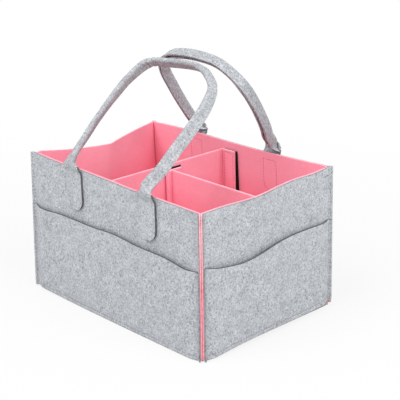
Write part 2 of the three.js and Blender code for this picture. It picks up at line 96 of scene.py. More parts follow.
def feltMaterial(name, look):
    # Needle-punched polyester felt: dull, slightly hairy, flecked where fibres of several
    # shades are mixed. Fibres run mostly flat in the sheet, in every direction.
    material, tree = newMaterial(name)
    coords = addNode(tree, "ShaderNodeTexCoord").outputs["Object"]
    lying, standing = (
        addNode(tree, "ShaderNodeMapping", {}, {"Scale": scale}, {"Vector": coords}).outputs["Vector"]
        for scale in ((1.0, 1.0, 0.75), (0.75, 0.75, 1.0))
    )
    fleckValues = {
        "Scale": 1000 / look["fleckSize"], "Detail": 4.0, "Roughness": look["fleckRough"], "Distortion": 0.6}
    flecks = [
        addNode(tree, "ShaderNodeTexNoise", {}, fleckValues, {"Vector": way}).outputs["Fac"]
        for way in (lying, standing)
    ]
    both = addNode(tree, "ShaderNodeMath", {"operation": "ADD"}, {}, {0: flecks[0], 1: flecks[1]}).outputs[0]
    blotch = addNode(
        tree, "ShaderNodeTexNoise",
        values={"Scale": 1000 / look["blotchSize"], "Detail": 2.0, "Roughness": 0.5},
        links={"Vector": coords},
    ).outputs["Fac"]
    shade = addNode(
        tree, "ShaderNodeMath", {"operation": "MULTIPLY_ADD"}, {1: look["blotchShare"]},
        {0: blotch, 2: both},
    )
    middle = 0.5 * look["blotchShare"]
    level = addNode(
        tree, "ShaderNodeMapRange", {},
        {"From Min": look["fleckLow"] + middle, "From Max": look["fleckHigh"] + middle},
        {"Value": shade.outputs[0]},
    ).outputs["Result"]
    colour = fillRamp(addNode(tree, "ShaderNodeValToRGB", links={"Fac": level}), look["stops"])
    if "speck" in look:
        low, high = look["speckRange"]
        speckValues = {"Scale": 1000 / look["speckSize"], "Detail": 1.0}
        specks = addNode(tree, "ShaderNodeTexNoise", {}, speckValues, {"Vector": lying}).outputs["Fac"]
        share = addNode(
            tree, "ShaderNodeMapRange", {}, {"From Min": low, "From Max": high, "To Max": look["speckShare"]},
            {"Value": specks},
        ).outputs["Result"]
        colour = addNode(
            tree, "ShaderNodeMix", {"data_type": "RGBA"}, {7: srgb(look["speck"])}, {0: share, 6: colour},
        ).outputs[2]
    if "deep" in look:
        # painted shade: the lining is tinted a darker, deeper pink further down, for the shade and the pink
        # bounce light there
        low, high = look["deepHeights"]
        height = addNode(tree, "ShaderNodeSeparateXYZ", links={"Vector": coords}).outputs["Z"]
        share = addNode(
            tree, "ShaderNodeMapRange", {},
            {"From Min": low * mm, "From Max": high * mm, "To Min": 1.0, "To Max": 0.0}, {"Value": height},
        ).outputs["Result"]
        colour = addNode(
            tree, "ShaderNodeMix", {"data_type": "RGBA", "blend_type": "MULTIPLY"}, {7: srgb(look["deep"])},
            {0: share, 6: colour},
        ).outputs[2]
    fibres = addNode(
        tree, "ShaderNodeTexNoise",
        values={"Scale": 1000 / look["fibreSize"], "Detail": 4.0, "Roughness": 0.7, "Distortion": 1.2},
        links={"Vector": coords},
    ).outputs["Fac"]
    nap = addNode(tree, "ShaderNodeMath", {"operation": "ADD"}, {}, {0: fibres, 1: both})
    bump = addNode(
        tree, "ShaderNodeBump", {}, {"Strength": look["napStrength"], "Distance": look["napHeight"] * mm},
        {"Height": nap.outputs[0]},
    )
    shader = addNode(
        tree, "ShaderNodeBsdfPrincipled", {},
        {
            "Roughness": 0.95, "Specular IOR Level": 0.18,
            "Sheen Weight": look["sheen"], "Sheen Roughness": 0.6, "Sheen Tint": srgb(look["sheenTint"]),
        },
        {"Base Color": colour, "Normal": bump.outputs["Normal"]},
    )
    addNode(tree, "ShaderNodeOutputMaterial", links={"Surface": shader.outputs["BSDF"]})
    return material


greyLook = {
    "fleckSize": 2.1,      # mm, coarser than the real 1 mm flecks so that they show at this distance
    "fleckRough": 0.8,
    "speckSize": 1.7,      # single dark fibres, also coarser than real
    "speckShare": 0.62,
    "speckRange": (0.54, 0.68),
    "speck": "#6e7277",
    "blotchSize": 12.0,
    "blotchShare": 0.3,
    "fleckLow": 0.7,
    "fleckHigh": 1.3,
    "stops": [(0.0, "#7c8086"), (0.3, "#a7a9ae"), (0.55, "#b8bbbf"), (1.0, "#d9dcdf")],
    "fibreSize": 0.9,
    "napStrength": 0.5,
    "napHeight": 0.35,
    "sheen": 0.06,
    "sheenTint": "#ffffff",
}
pinkLook = {
    "fleckSize": 3.0,
    "fleckRough": 0.6,
    # painted shade: a tint multiplied into the lining below these heights in mm
    "deep": "#fcd6de",
    "deepHeights": (95.0, 150.0),
    "blotchSize": 22.0,
    "blotchShare": 0.5,
    "fleckLow": 0.7,
    "fleckHigh": 1.3,
    "stops": [(0.0, "#fca2b6"), (0.5, "#fea7ba"), (1.0, "#feadbe")],
    "fibreSize": 0.9,
    "napStrength": 0.35,
    "napHeight": 0.3,
    "sheen": 0.05,
    "sheenTint": "#ffd9e0",
}


def edgeMaterial(name, look, low, middle, high):
    # a cut edge shows the felt's fibres end on: rougher, and more even in shade
    return feltMaterial(name, {**look, "napStrength": 0.8, "stops": [(0.0, low), (0.5, middle), (1.0, high)]})


greyFelt = feltMaterial("needle_felt_grey_melange", greyLook)
greyCut = edgeMaterial("needle_felt_grey_cut_edge", greyLook, "#8d9096", "#afb1b6", "#cfd1d4")
# the rim is cut with a knife, and its cut edge is a darker grey than the other cut edges; the dark
# edges of pocket mouths and of the handles' sewn ends are painted shade, for the shadowed gaps behind them
greyRim = edgeMaterial("needle_felt_grey_rim_edge", greyLook, "#74777c", "#8f9296", "#b0b3b6")
# painted shade: the free handle band takes a darker grey, for the shade that falls on the band
bandShadeFelt = feltMaterial("needle_felt_grey_handle_band_painted_shade", {**greyLook, "stops": [
    (0.0, "#70747a"), (0.3, "#999ca1"), (0.55, "#a9acb0"), (1.0, "#cdd0d3")]})
# painted shade: near-black cut edges for the pocket mouths and sewn ends, standing in for the shadowed gaps
# there
greyShadowEdge = edgeMaterial("needle_felt_grey_edge_painted_shadow", greyLook, "#484a4e", "#595b5f", "#747679")
pinkFelt = feltMaterial("needle_felt_pink", pinkLook)
pinkCut = edgeMaterial("needle_felt_pink_cut_edge", pinkLook, "#f6a3b2", "#faafbc", "#fbbcc7")
pinkSeam = edgeMaterial("needle_felt_pink_seam_edge", pinkLook, "#dd98a4", "#eeb4bb", "#f4c6cb")


def tapeMaterial(name, look):
    # Woven nylon tape with stiff hooks or a napped loop face: nearly black with a weak gloss.
    material, tree = newMaterial(name)
    coords = addNode(tree, "ShaderNodeTexCoord").outputs["Object"]
    cells = addNode(
        tree, "ShaderNodeTexVoronoi", {}, {"Scale": 1000 / look["pitch"], "Randomness": look["disorder"]},
        {"Vector": coords},
    ).outputs["Distance"]
    colour = fillRamp(addNode(tree, "ShaderNodeValToRGB", links={"Fac": cells}), look["stops"])
    bump = addNode(
        tree, "ShaderNodeBump", {"invert": True}, {"Strength": 0.8, "Distance": look["height"] * mm},
        {"Height": cells},
    )
    shader = addNode(
        tree, "ShaderNodeBsdfPrincipled", {},
        {"Roughness": look["roughness"], "Specular IOR Level": 0.3, "Sheen Weight": look["sheen"]},
        {"Base Color": colour, "Normal": bump.outputs["Normal"]},
    )
    addNode(tree, "ShaderNodeOutputMaterial", links={"Surface": shader.outputs["BSDF"]})
    return material


hookTape = tapeMaterial("nylon_hook_tape", {
    "pitch": 1.3, "disorder": 0.35, "height": 0.5, "roughness": 0.55, "sheen": 0.0,
    "stops": [(0.0, "#3a3336"), (0.6, "#1d1719"), (1.0, "#120e10")]})
loopTape = tapeMaterial("nylon_loop_tape", {
    "pitch": 0.8, "disorder": 1.0, "height": 0.4, "roughness": 0.85, "sheen": 0.08,
    "stops": [(0.0, "#2a2225"), (1.0, "#171214")]})


def threadMaterial(name, stops):
    # Spun polyester sewing thread: a slight twist shows as fine light and dark along it.
    material, tree = newMaterial(name)
    twistSize = 0.5
    coords = addNode(tree, "ShaderNodeTexCoord").outputs["Object"]
    twist = addNode(
        tree, "ShaderNodeTexNoise", {}, {"Scale": 1000 / twistSize, "Detail": 2.0}, {"Vector": coords},
    ).outputs["Fac"]
    colour = fillRamp(addNode(tree, "ShaderNodeValToRGB", links={"Fac": twist}), stops)
    bump = addNode(tree, "ShaderNodeBump", {}, {"Strength": 0.5, "Distance": 0.15 * mm}, {"Height": twist})
    shader = addNode(
        tree, "ShaderNodeBsdfPrincipled", {}, {"Roughness": 0.6, "Specular IOR Level": 0.35},
        {"Base Color": colour, "Normal": bump.outputs["Normal"]},
    )
    addNode(tree, "ShaderNodeOutputMaterial", links={"Surface": shader.outputs["BSDF"]})
    return material


paleThread = threadMaterial("polyester_thread_light_grey", [(0.3, "#a0a2a6"), (0.7, "#b4b6b9")])
greyThread = threadMaterial("polyester_thread_grey", [(0.3, "#6f7175"), (0.7, "#8f9195")])
pinkThread = threadMaterial("polyester_thread_rose", [(0.3, "#c25f78"), (0.7, "#d27289")])
print("materials made")


# Meshes

def cutRound(distance, size):
    # what a soft cut edge of felt loses at a distance from its edge
    off = np.clip(1 - np.asarray(distance, float) / size, 0, 1)
    return size * (1 - np.sqrt(1 - off * off))


def edgeSteps(size):
    return [0.0, 0.06 * size, 0.28 * size, 0.62 * size, size]


def betweenEdges(low, middle, high, size):
    # places from low to high, close together over both soft edges
    steps = np.array(edgeSteps(size))
    return np.concatenate([low + steps, middle, high - steps[::-1]])


def edgeLoss(places, size, ends=(True, True)):
    # what is lost along a run of places at those of its ends that are cut
    lost = np.zeros(len(places))
    if ends[0]:
        lost = np.maximum(lost, cutRound(places - places[0], size))
    if ends[1]:
        lost = np.maximum(lost, cutRound(places[-1] - places, size))
    return lost


def runAlong(points):
    return np.concatenate([[0], np.cumsum(np.linalg.norm(np.diff(points, axis=0), axis=1))])


def addObject(name, data):
    made = bpy.data.objects.new(name, data)
    bpy.context.scene.collection.objects.link(made)
    return made


def meshFrom(name, points, faces, materials, kinds=None):
    mesh = bpy.data.meshes.new(name)
    points = np.asarray(points, float)
    corners = points[np.asarray([f[:3] for f in faces])]
    volume = np.einsum("ij,ij->i", corners[:, 0], np.cross(corners[:, 1], corners[:, 2])).sum()
    if volume < 0:
        faces = [tuple(reversed(f)) for f in faces]
    mesh.from_pydata((points * mm).tolist(), [], [tuple(int(i) for i in f) for f in faces])
    for material in materials:
        mesh.materials.append(material)
    if kinds is not None:
        mesh.polygons.foreach_set("material_index", np.asarray(kinds, np.int32))
    mesh.polygons.foreach_set("use_smooth", np.ones(len(faces), bool))
    mesh.update()
    return addObject(name, mesh)


def sheetFrom(name, front, back, materials, edgeRows=(4, 4), edgeColumns=(4, 4)):
    # A closed sheet between two grids of points. The outermost rows are cut edge of the second
    # material, the outermost columns of the last one.
    rows, columns = front.shape[:2]
    index = np.arange(rows * columns).reshape(rows, columns)
    other = index + rows * columns
    quads, kinds = [], []

    def addQuads(a, b, c, d, kind):
        quads.append(np.stack([a, b, c, d], axis=-1).reshape(-1, 4))
        kinds.append(np.broadcast_to(kind, a.shape).reshape(-1))

    last = len(materials) - 1
    edge = np.zeros((rows - 1, columns - 1), int)
    if edgeRows[0]:
        edge[:edgeRows[0] - 1] = 1
    if edgeRows[1]:
        edge[rows - edgeRows[1]:] = 1
    if edgeColumns[0]:
        edge[:, :edgeColumns[0] - 1] = last
    if edgeColumns[1]:
        edge[:, columns - edgeColumns[1]:] = last
    addQuads(index[:-1, :-1], index[:-1, 1:], index[1:, 1:], index[1:, :-1], edge)
    addQuads(other[:-1, :-1], other[1:, :-1], other[1:, 1:], other[:-1, 1:], edge)
    addQuads(index[0, :-1], other[0, :-1], other[0, 1:], index[0, 1:], 1)
    addQuads(index[-1, :-1], index[-1, 1:], other[-1, 1:], other[-1, :-1], 1)
    addQuads(index[:-1, 0], index[1:, 0], other[1:, 0], other[:-1, 0], last)
    addQuads(index[:-1, -1], other[:-1, -1], other[1:, -1], index[1:, -1], last)
    points = np.concatenate([front.reshape(-1, 3), back.reshape(-1, 3)])
    return meshFrom(name, points, np.concatenate(quads).tolist(), materials, np.concatenate(kinds))


def finishPiece(piece, bodyName, nodes):
    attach(piece, bodyName)
    if nodes:
        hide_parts(*nodes)
    return piece


# The felt body

body = {
    "length": 330.0, "depth": 225.0, "rim": 185.0,      # between the corner seams, and the rim height
    "outerFelt": 3.0, "liningFelt": 2.0, "pocketFelt": 3.0,
    "layerGap": 0.25, "seamGap": 0.2,
    "seamReach": 7.0, "leastSeam": 1.2,                 # how far a corner seam stands out, and at least
    "seamRound": 1.2, "seamRoundHeight": 6.0,           # its rounded foot
    "bendSize": 1.6, "bendShare": 0.45,                 # the soft bend between wall and seam
    "seamPress": 0.58, "pressRun": 15.0,                # outer layers pressed thinner in and beside a seam
    "footRound": 1.8, "footRoundHeight": 3.0, "footBowHeight": 60.0,
    "nearStep": 0.2, "farStep": 2.4, "backStep": 0.9, "endFoot": 4.8,
    "cutRound": 0.7, "liningCutRound": 0.5,             # softness of the cut edges
    "footSeam": 5.6, "cornerSeam": 2.6,                 # stitch rows from the foot and from the seam's edge
    "seamDip": 0.4, "dipRun": 0.8,                      # how deep the thread pulls the felt in, and how far
    "softness": 0.9, "waveStart": 50.0,                 # the felt's slow waves, and where they are full
    "columnStep": 4.6,                                  # between the columns of a wall's mesh
}
cornerX = body["length"] / 2 - body["seamReach"] / math.sqrt(2)
cornerY = body["depth"] / 2 - body["seamReach"] / math.sqrt(2)
liningInner = body["seamGap"] / 2
liningOuter = liningInner + body["liningFelt"]
outerInner = liningOuter + body["layerGap"]
outerOuter = outerInner + body["outerFelt"]
pocketInner = outerOuter + body["layerGap"]
pocketOuter = pocketInner + body["pocketFelt"]
mitre = math.tan(math.pi / 8)
liningFoot = body["outerFelt"] + body["layerGap"]
floorTop = liningFoot + body["liningFelt"]



def atCorners(frontLeft, frontRight, backRight, backLeft):
    return {"frontLeft": frontLeft, "frontRight": frontRight, "backRight": backRight, "backLeft": backLeft}


corners = atCorners((-cornerX, -cornerY), (cornerX, -cornerY), (cornerX, cornerY), (-cornerX, cornerY))
cornerLean = atCorners((0.4, 6.4), (0.0, -1.2), (-1.6, 1.7), (-2.4, -2.0))      # x and y at the rim
cornerSpread = atCorners((0, 0), (-1.2, -2.3), (0, 0), (0, 0))                  # x and y at the foot
# how far the foot is raised, the rim hangs down and the lining is tucked away below the outer
# felt at a corner, and over which share of a wall
cornerLift = atCorners((2.4, 0.42), (-4.6, 0.42), (2.4, 0.42), (1.5, 0.42))
cornerDrop = atCorners((-3.4, 0.25), (0.0, 0.42), (-2.2, 0.22), (2.4, 0.42))
liningTuck = atCorners((3.0, 0.04), (0.0, 0.04), (2.4, 0.04), (0.0, 0.04))


def smoothStep(t):
    t = np.clip(t, 0, 1)
    return t * t * (3 - 2 * t)


def bell(u, depth, place, halfWidth):
    off = np.minimum(np.abs(u - place) / halfWidth, 1)
    return depth * (1 + np.cos(np.pi * off)) / 2


def softRise(z):
    return (np.clip(z, 0, None) / body["rim"]) ** 1.5


def footFade(z):
    return np.maximum(1 - z / body["footBowHeight"], 0) ** 2


def leftFoldIn(u, z):
    # the left end is folded inwards along a standing crease
    place, depth, soften = 0.54, 40.5, 0.035
    share = np.where(u < place, u / place, (1 - u) / (1 - place))
    share = share - 0.5 * soften * np.exp(-((u - place) / soften) ** 2)
    return depth * share * np.sin(np.pi / 2 * np.clip(z / body["rim"], 0, 1))


walls = {
    "front": {
        "start": "frontLeft", "end": "frontRight", "along": (1, 0), "out": (0, -1), "turned": True,
        "step": body["nearStep"], "foot": 0.0, "waves": [(2.2, 1.3, 0.4), (4.1, 0.6, 2.0)],
        "inward": lambda u, z: (
            bell(u, 3.0, 0.32, 0.32) * softRise(z) + bell(u, -0.8, 0.68, 0.64) * footFade(z)),
    },
    "right_end": {
        "start": "frontRight", "end": "backRight", "along": (0, 1), "out": (1, 0), "turned": False,
        "step": body["nearStep"], "foot": body["endFoot"], "waves": [(1.7, 0.9, 1.1), (3.3, 1.4, 0.2)],
        "inward": lambda u, z: (bell(u, -5.5, 0.36, 0.26) + bell(u, 3.0, 0.74, 0.18)) * softRise(z),
    },
    "back": {
        "start": "backRight", "end": "backLeft", "along": (-1, 0), "out": (0, 1), "turned": True,
        "step": body["backStep"], "foot": 0.0, "waves": [(2.6, 1.1, 2.3), (3.9, 0.8, 0.9)],
        "inward": lambda u, z: (
            bell(u, 5.0, 0.44, 0.44) * softRise(z) + bell(u, -2.0, 0.5, 0.5) * footFade(z)),
    },
    "left_end": {
        "start": "backLeft", "end": "frontLeft", "along": (0, -1), "out": (-1, 0), "turned": False,
        "step": body["farStep"], "foot": body["endFoot"], "waves": [(1.9, 1.2, 0.7), (3.6, 0.7, 1.9)],
        "inward": leftFoldIn, "rimDip": (1.3, 0.68, 0.28),
    },
}
for wall in walls.values():
    wall["length"] = 2 * cornerX if wall["turned"] else 2 * cornerY


def slowWaves(wall, u, z):
    # felt never stands quite flat; the waves only push outwards, away from the dividers
    total = sum(np.sin(np.pi * (2 * a * u + b * z / body["rim"]) + phase) for a, b, phase in wall["waves"])
    rise = np.clip(np.sin(np.pi * np.clip(u, 0, 1)), 0, 1) * np.clip(z / body["waveStart"], 0, 1)
    return -body["softness"] * rise * (0.5 + 0.25 * total)


def inwardOf(wall, u, z):
    return wall["inward"](u, z) + slowWaves(wall, u, z)


def cornerAt(name, z):
    up = z[..., None] / body["rim"]
    return np.array(corners[name]) + np.array(cornerLean[name]) * up + np.array(cornerSpread[name]) * (1 - up)


def together(*values):
    return np.broadcast_arrays(*(np.asarray(v, float) for v in values))


def wallPoint(wall, u, z, depth):
    # u from 0 to 1 between the corners, depth outwards from the lining's inner face
    u, z, depth = together(u, z, depth)
    a = cornerAt(wall["start"], z)
    b = cornerAt(wall["end"], z)
    push = (depth - inwardOf(wall, u, z))[..., None]
    flat = a + (b - a) * u[..., None] + np.array(wall["out"], float) * push
    return np.concatenate([flat, z[..., None]], axis=-1)


def seamPoint(wall, end, reach, z, depth):
    # a corner seam stands out along the corner's diagonal; end is 0 or 1
    reach, z, depth = together(reach, z, depth)
    sign = -1 if end == 0 else 1
    out, along = np.array(wall["out"], float), np.array(wall["along"], float)
    diagonal = (out + sign * along) / math.sqrt(2)
    across = (out - sign * along) / math.sqrt(2)
    corner = cornerAt(wall["start" if end == 0 else "end"], z)
    flat = corner + diagonal * reach[..., None] + across * depth[..., None]
    return np.concatenate([flat, z[..., None]], axis=-1)


def fromCorners(wall, u, values):
    total = 0.0
    for corner, run in ((wall["start"], u), (wall["end"], 1 - u)):
        amount, fade = values[corner]
        total = total + amount * np.maximum(1 - run / fade, 0) ** 2
    return total


def footAt(wall, u):
    return np.maximum(wall["foot"] + fromCorners(wall, u, cornerLift), 0)


def rimAt(wall, u):
    return body["rim"] - fromCorners(wall, u, cornerDrop) - bell(u, *wall.get("rimDip", (0.0, 0.5, 0.5)))


def liningTop(wall, u):
    return rimAt(wall, u) - fromCorners(wall, u, liningTuck)


def rounding(amount, height, aboveFoot):
    drop = np.clip(1 - aboveFoot / height, 0, 1)
    return amount * (1 - np.sqrt(1 - drop * drop))


def shareOf(wall, place):
    half = cornerX if wall["turned"] else cornerY
    share = (np.asarray(place, float) + half) / (2 * half)
    return share if sum(wall["along"]) > 0 else 1 - share


def wallColumns(wall, size):
    # column by column: seam edge, seam, soft bend, wall, and back out to the other seam
    seam = [("edge", d) for d in edgeSteps(size)] + [("seam", s) for s in (0.35, 0.7, 1.0)]
    bend = [("bend", t) for t in (0.25, 0.5, 0.75)]
    near = [2.2, 3.4, 5.0, 7.5, 11.0, 15.5]
    middle = np.linspace(20.0, wall["length"] - 20.0, int(wall["length"] / body["columnStep"]))
    start = [(kind, 0, v) for kind, v in seam + bend]
    end = [(kind, 1, v) for kind, v in reversed(seam + bend)]
    flat = near + list(middle) + [wall["length"] - d for d in reversed(near)]
    return start + [("wall", None, d / wall["length"]) for d in flat] + end


def layerGrid(wall, size, heightsAt, facesAt, cutFoot):
    # one felt layer: heightsAt(u) gives its rows, facesAt(u, z) its inner and outer depth
    front, back = [], []
    for kind, end, value in wallColumns(wall, size):
        u = float(value if kind == "wall" else end)
        z = heightsAt(u)
        toSeam = min(u, 1 - u) * wall["length"]
        share = body["seamPress"] * smoothStep(1 - toSeam / body["pressRun"])
        inner, outer = (
            np.minimum(face, liningOuter) + np.maximum(face - liningOuter, 0) * (1 - share)
            for face in facesAt(u, z)
        )
        lost = edgeLoss(z, size, (cutFoot, True))
        inner, outer = inner + lost, outer - lost
        if kind == "wall":
            front.append(wallPoint(wall, u, z, outer))
            back.append(wallPoint(wall, u, z, inner))
            continue
        for depth, sign, faces in ((outer, -1, front), (inner, 1, back)):
            root = depth * mitre
            rounded = rounding(body["seamRound"], body["seamRoundHeight"], z - footAt(wall, u))
            tip = np.maximum(body["seamReach"] - rounded, root + body["leastSeam"])
            bendSize = np.minimum(body["bendSize"], body["bendShare"] * (tip - root))
            half = (tip - root - bendSize) / 2
            if kind == "edge":
                extra = np.maximum(cutRound(value, size) - lost, 0)
                faces.append(seamPoint(wall, end, tip - value * half, z, depth + sign * extra))
            elif kind == "seam":
                reach = (tip - size * half) * (1 - value) + (root + bendSize) * value
                faces.append(seamPoint(wall, end, reach, z, depth))
            else:
                a = seamPoint(wall, end, root + bendSize, z, depth)
                kink = seamPoint(wall, end, root, z, depth)
                step = bendSize / wall["length"]
                b = wallPoint(wall, step if end == 0 else 1 - step, z, depth)
                faces.append(a * (1 - value) ** 2 + 2 * kink * value * (1 - value) + b * value ** 2)
    return np.stack(front, axis=1), np.stack(back, axis=1)


def heightRows(low, high, size, count, seamRow=None):
    # rows from a foot to a top, close together at both edges and beside a row of stitches
    start = edgeSteps(size) + [1.3, 2.2, 3.2]
    if seamRow:
        start += [seamRow + d for d in (-1.4, -0.9, -0.45, 0, 0.45, 0.9, 1.4)]
    start += [8.5, 11.0, 15.0]
    stop = edgeSteps(size) + [1.6, 3.0]
    middle = np.linspace(low + 20.0, high - 6.0, count)
    return np.concatenate([low + np.array(start), middle, high - np.array(stop[::-1])])


seamRowIndex = len(edgeSteps(1.0)) + 3 + 3      # the row in heightRows that the stitches follow


def turnedFoot(wall, u, z, depth):
    if not wall["turned"]:
        return depth
    return depth - rounding(body["footRound"], body["footRoundHeight"], z - footAt(wall, u))


def dipAt(distance):
    return body["seamDip"] * np.exp(-(distance / body["dipRun"]) ** 2)


# height of the mouth, how far it stands off the wall in its first and second half, between which
# shares of the wall its rim sags and how much, and further waves of the rim
pockets = {
    "front": {"height": 119.0, "ease": 1.9, "far": 2.6, "dip": (0.88, 1.12), "sag": -5.8,
              "waves": [(2.3, 0.54, 0.18), (-2.2, 0.085, 0.12)]},
    "right_end": {"height": 119.0, "ease": 3.0, "far": 1.8, "dip": (0.0, 0.5), "sag": -7.8},
    "back": {"height": 119.0, "ease": 4.9, "far": 4.9, "dip": (-0.12, 0.12), "sag": -8.0},
    "left_end": {"height": 119.0, "ease": 4.9, "far": 4.9, "dip": (0.5, 1.0), "sag": -4.5},
}
pocketRuns = {"change": 0.14, "ends": 0.1, "sag": 0.08}     # shares of the wall over which these fade


def pocketEase(pocket, u, z):
    up = np.clip(z / pocket["height"], 0, 1)
    ease = pocket["ease"] + (pocket["far"] - pocket["ease"]) * np.clip((u - 0.5) / pocketRuns["change"], 0, 1)
    ends = np.sin(np.pi / 2 * np.clip(np.minimum(u, 1 - u) / pocketRuns["ends"], 0, 1))
    return ease * ends * (1 - (1 - up) ** 3)


def pocketTop(pocket, u):
    low, high = pocket["dip"]
    waves = sum(bell(u, *wave) for wave in pocket.get("waves", []))
    sag = bell(u, pocket["sag"], (low + high) / 2, (high - low) / 2 + pocketRuns["sag"])
    return pocket["height"] + sag + waves


layerFelts = {
    "panel": [greyFelt, greyRim, greyCut],
    "lining": [pinkFelt, pinkCut, pinkSeam],
    "pocket": [greyFelt, greyShadowEdge, greyCut],
}
layers = {}
for name, wall in walls.items():
    pocket = pockets[name]

    def panelHeights(u):
        return heightRows(footAt(wall, u), rimAt(wall, u) - wall["step"], body["cutRound"], 36)

    def panelFaces(u, z):
        return np.full_like(z, outerInner), turnedFoot(wall, u, z, outerOuter)

    def liningHeights(u):
        foot = max(footAt(wall, u) + body["layerGap"], liningFoot)
        return heightRows(foot, liningTop(wall, u), body["liningCutRound"], 36)

    def liningFaces(u, z):
        return np.full_like(z, liningInner), np.full_like(z, liningOuter)

    def pocketHeights(u):
        return heightRows(footAt(wall, u), pocketTop(pocket, u), body["cutRound"], 24, body["footSeam"])

    def pocketFaces(u, z):
        ease = pocketEase(pocket, u, z)
        dip = dipAt(z - footAt(wall, u) - body["footSeam"])
        return pocketInner + ease, turnedFoot(wall, u, z, pocketOuter) + ease - dip

    layers[name, "panel"] = layerGrid(wall, body["cutRound"], panelHeights, panelFaces, not wall["turned"])
    layers[name, "lining"] = layerGrid(wall, body["liningCutRound"], liningHeights, liningFaces, True)
    layers[name, "pocket"] = layerGrid(wall, body["cutRound"], pocketHeights, pocketFaces, not wall["turned"])
    for layer, felts in layerFelts.items():
        front, back = layers[name, layer]
        foot = 0 if wall["turned"] and layer != "lining" else 4
        piece = sheetFrom(f"{name}_{layer}_felt", front, back, felts, edgeRows=(foot, 4))
        finishPiece(piece, "shell", [f"{name}_{layer}"])
print("walls, linings and pockets made")


# Floor

def floorGrid(depth, z0, z1, size):
    # a grid that follows the foot of the four walls
    width, length = 2 * cornerY, 2 * cornerX
    rows, columns = (
        betweenEdges(0, np.linspace(3, run - 3, count), run, size) / run
        for run, count in ((width, 40), (length, 60))
    )
    v, u = np.meshgrid(rows, columns, indexing="ij")
    z = np.full_like(u, z1)
    left = wallPoint(walls["left_end"], 1 - v, z, depth)[..., 0]
    right = wallPoint(walls["right_end"], v, z, depth)[..., 0]
    near = wallPoint(walls["front"], u, z, depth)[..., 1]
    far = wallPoint(walls["back"], 1 - u, z, depth)[..., 1]
    x = left + (right - left) * u
    y = near + (far - near) * v
    fromEdge = np.minimum(np.minimum(u, 1 - u) * length, np.minimum(v, 1 - v) * width)
    lost = cutRound(fromEdge, size)
    top = np.stack([x, y, z1 - lost], axis=-1)
    bottom = np.stack([x, y, z0 + lost], axis=-1)
    return top, bottom


for name, depth, low, high, size, felts, slotName in (
    ("base_panel", outerInner - body["layerGap"], 0.0, body["outerFelt"], body["cutRound"],
     [greyFelt, greyCut], "grey_felt"),
    ("base_lining", -body["layerGap"], liningFoot, floorTop, body["liningCutRound"],
     [pinkFelt, pinkCut], "pink_felt"),
):
    top, bottom = floorGrid(depth, low, high, size)
    finishPiece(sheetFrom(f"{name}_felt", top, bottom, felts), "shell", [name])
print("floor made")


# Handles: each is one felt band, sewn flat on the wall at both ends and folded in half between

handle = {
    "felt": 3.0,
    "belly": 31.0,              # widest part of a sewn end
    "foldRadius": 2.2,          # of the band's middle layer in the closed fold
    "bandWidth": 28.6,          # unfolded
    "hingeRise": 4.0, "hingeOffset": 1.9, "rootInset": 0.5,
    "rootRise": {"front": 5.0, "back": 1.0},        # how far the band rises straight before it leans in
    "clearRise": 6.0,           # from here on it is darker
    "blendRun": (5, 6),         # how much of the band below and above the fold takes part in the bend
    "leaveWay": {"front": (0, 0, 1), "back": (0, -0.7, 0.7)},
    "closedFold": {"front": 0.96, "back": 0.95},    # 1 would press the two halves of the band together
    "endFelt": 2.5,             # a sewn end is pressed thinner
    # how far a sewn end's right edge stands off past its stitches, the left edge's part of that, and
    # the shares of the half width over which they rise
    "edgeLift": 0.35, "leftPart": 0.3, "rightRun": 0.28, "leftRun": 0.22,
    "stitchInset": 4.0,
    "liningInset": 4.8, "liningTop": 9.4, "liningShift": 2.8,      # the same seams, seen on the lining
    # x of a crease and how much narrower the band is there; creases are only in its upper part
    "creases": [("front", -57.5, 0.16), ("front", -51.5, 0.13), ("front", 66.5, 0.06), ("back", -66.0, 0.08)],
    "creaseWidth": 1.5,         # half the length of band that a crease takes
    "creaseHeight": 270.0,
    "wobble": 0.05, "wobbleRun": 21.0,      # uneven width of the folded band
}
sewnEnds = {
    "front": [
        {"x": -68.5, "slant": -4.2, "neck": 31.5, "length": 53.0, "flare": 21.0},
        {"x": 74.4, "slant": -0.6, "neck": 30.0, "length": 54.5, "flare": 13.0},
    ],
    "back": [
        {"x": 63.0, "slant": 0.0, "neck": 28.0, "length": 56.0, "flare": 17.0, "flat": 5.0},
        {"x": -75.0, "slant": 0.0, "neck": 28.0, "length": 56.0, "flare": 15.0, "flat": 4.0},
    ],
}
# x, y, z in mm, the turn of the folded band about its route in degrees, and its share of the
# full width where a bend pinches it
routes = {
    "front": [
        (-71.6, -101, 209, -36, 0.96), (-72.2, -88, 221, -37, 0.96), (-74, -66, 240, -43, 1),
        (-74.6, -38, 262.8, -50, 0.92), (-73.6, -11, 283, -78, 0.84), (-61.5, 13, 301, -126, 0.9),
        (-32, 24, 304, -138, 0.88),
        (5, 25.5, 306.4, -134, 0.85), (25.4, 23, 306, -126, 0.8), (43, 17.5, 300.6, -114, 0.7),
        (66, 3, 291, -102, 0.8), (78.5, -20, 275.5, -84, 1), (82.2, -45, 256.7, -64, 1.06),
        (81.4, -70, 235.8, -50, 1.08), (77.8, -92, 214.3, -44, 1.08), (74.8, -104, 204.3, -44, 1.08),
    ],
    "back": [
        (67.4, 106, 201, 92, 1), (71.8, 95, 212, 92, 1), (75.8, 87, 225, 90, 1), (78, 76, 243, 87, 1),
        (77.4, 64, 263.8, 80, 1), (73.2, 52.5, 283.2, 70, 1.02), (58, 46.5, 299.1, 52, 0.92),
        (35, 43, 311, 47, 0.9),
        (6.5, 41, 315, 45, 0.92), (-25.5, 42, 313.8, 48, 0.93), (-51, 44, 308.5, 60, 0.95),
        (-69.8, 48.5, 296, 82, 0.97), (-77.2, 56.5, 279.4, 98, 1), (-78.3, 68.5, 258.9, 104, 0.99),
        (-77.7, 80.5, 238.4, 106, 0.98), (-75.7, 92, 219.4, 104, 0.95), (-74.6, 102, 205, 98, 0.95),
    ],
}
hingeDepth = pocketOuter + handle["hingeOffset"]
hingeHeight = body["rim"] + handle["hingeRise"]
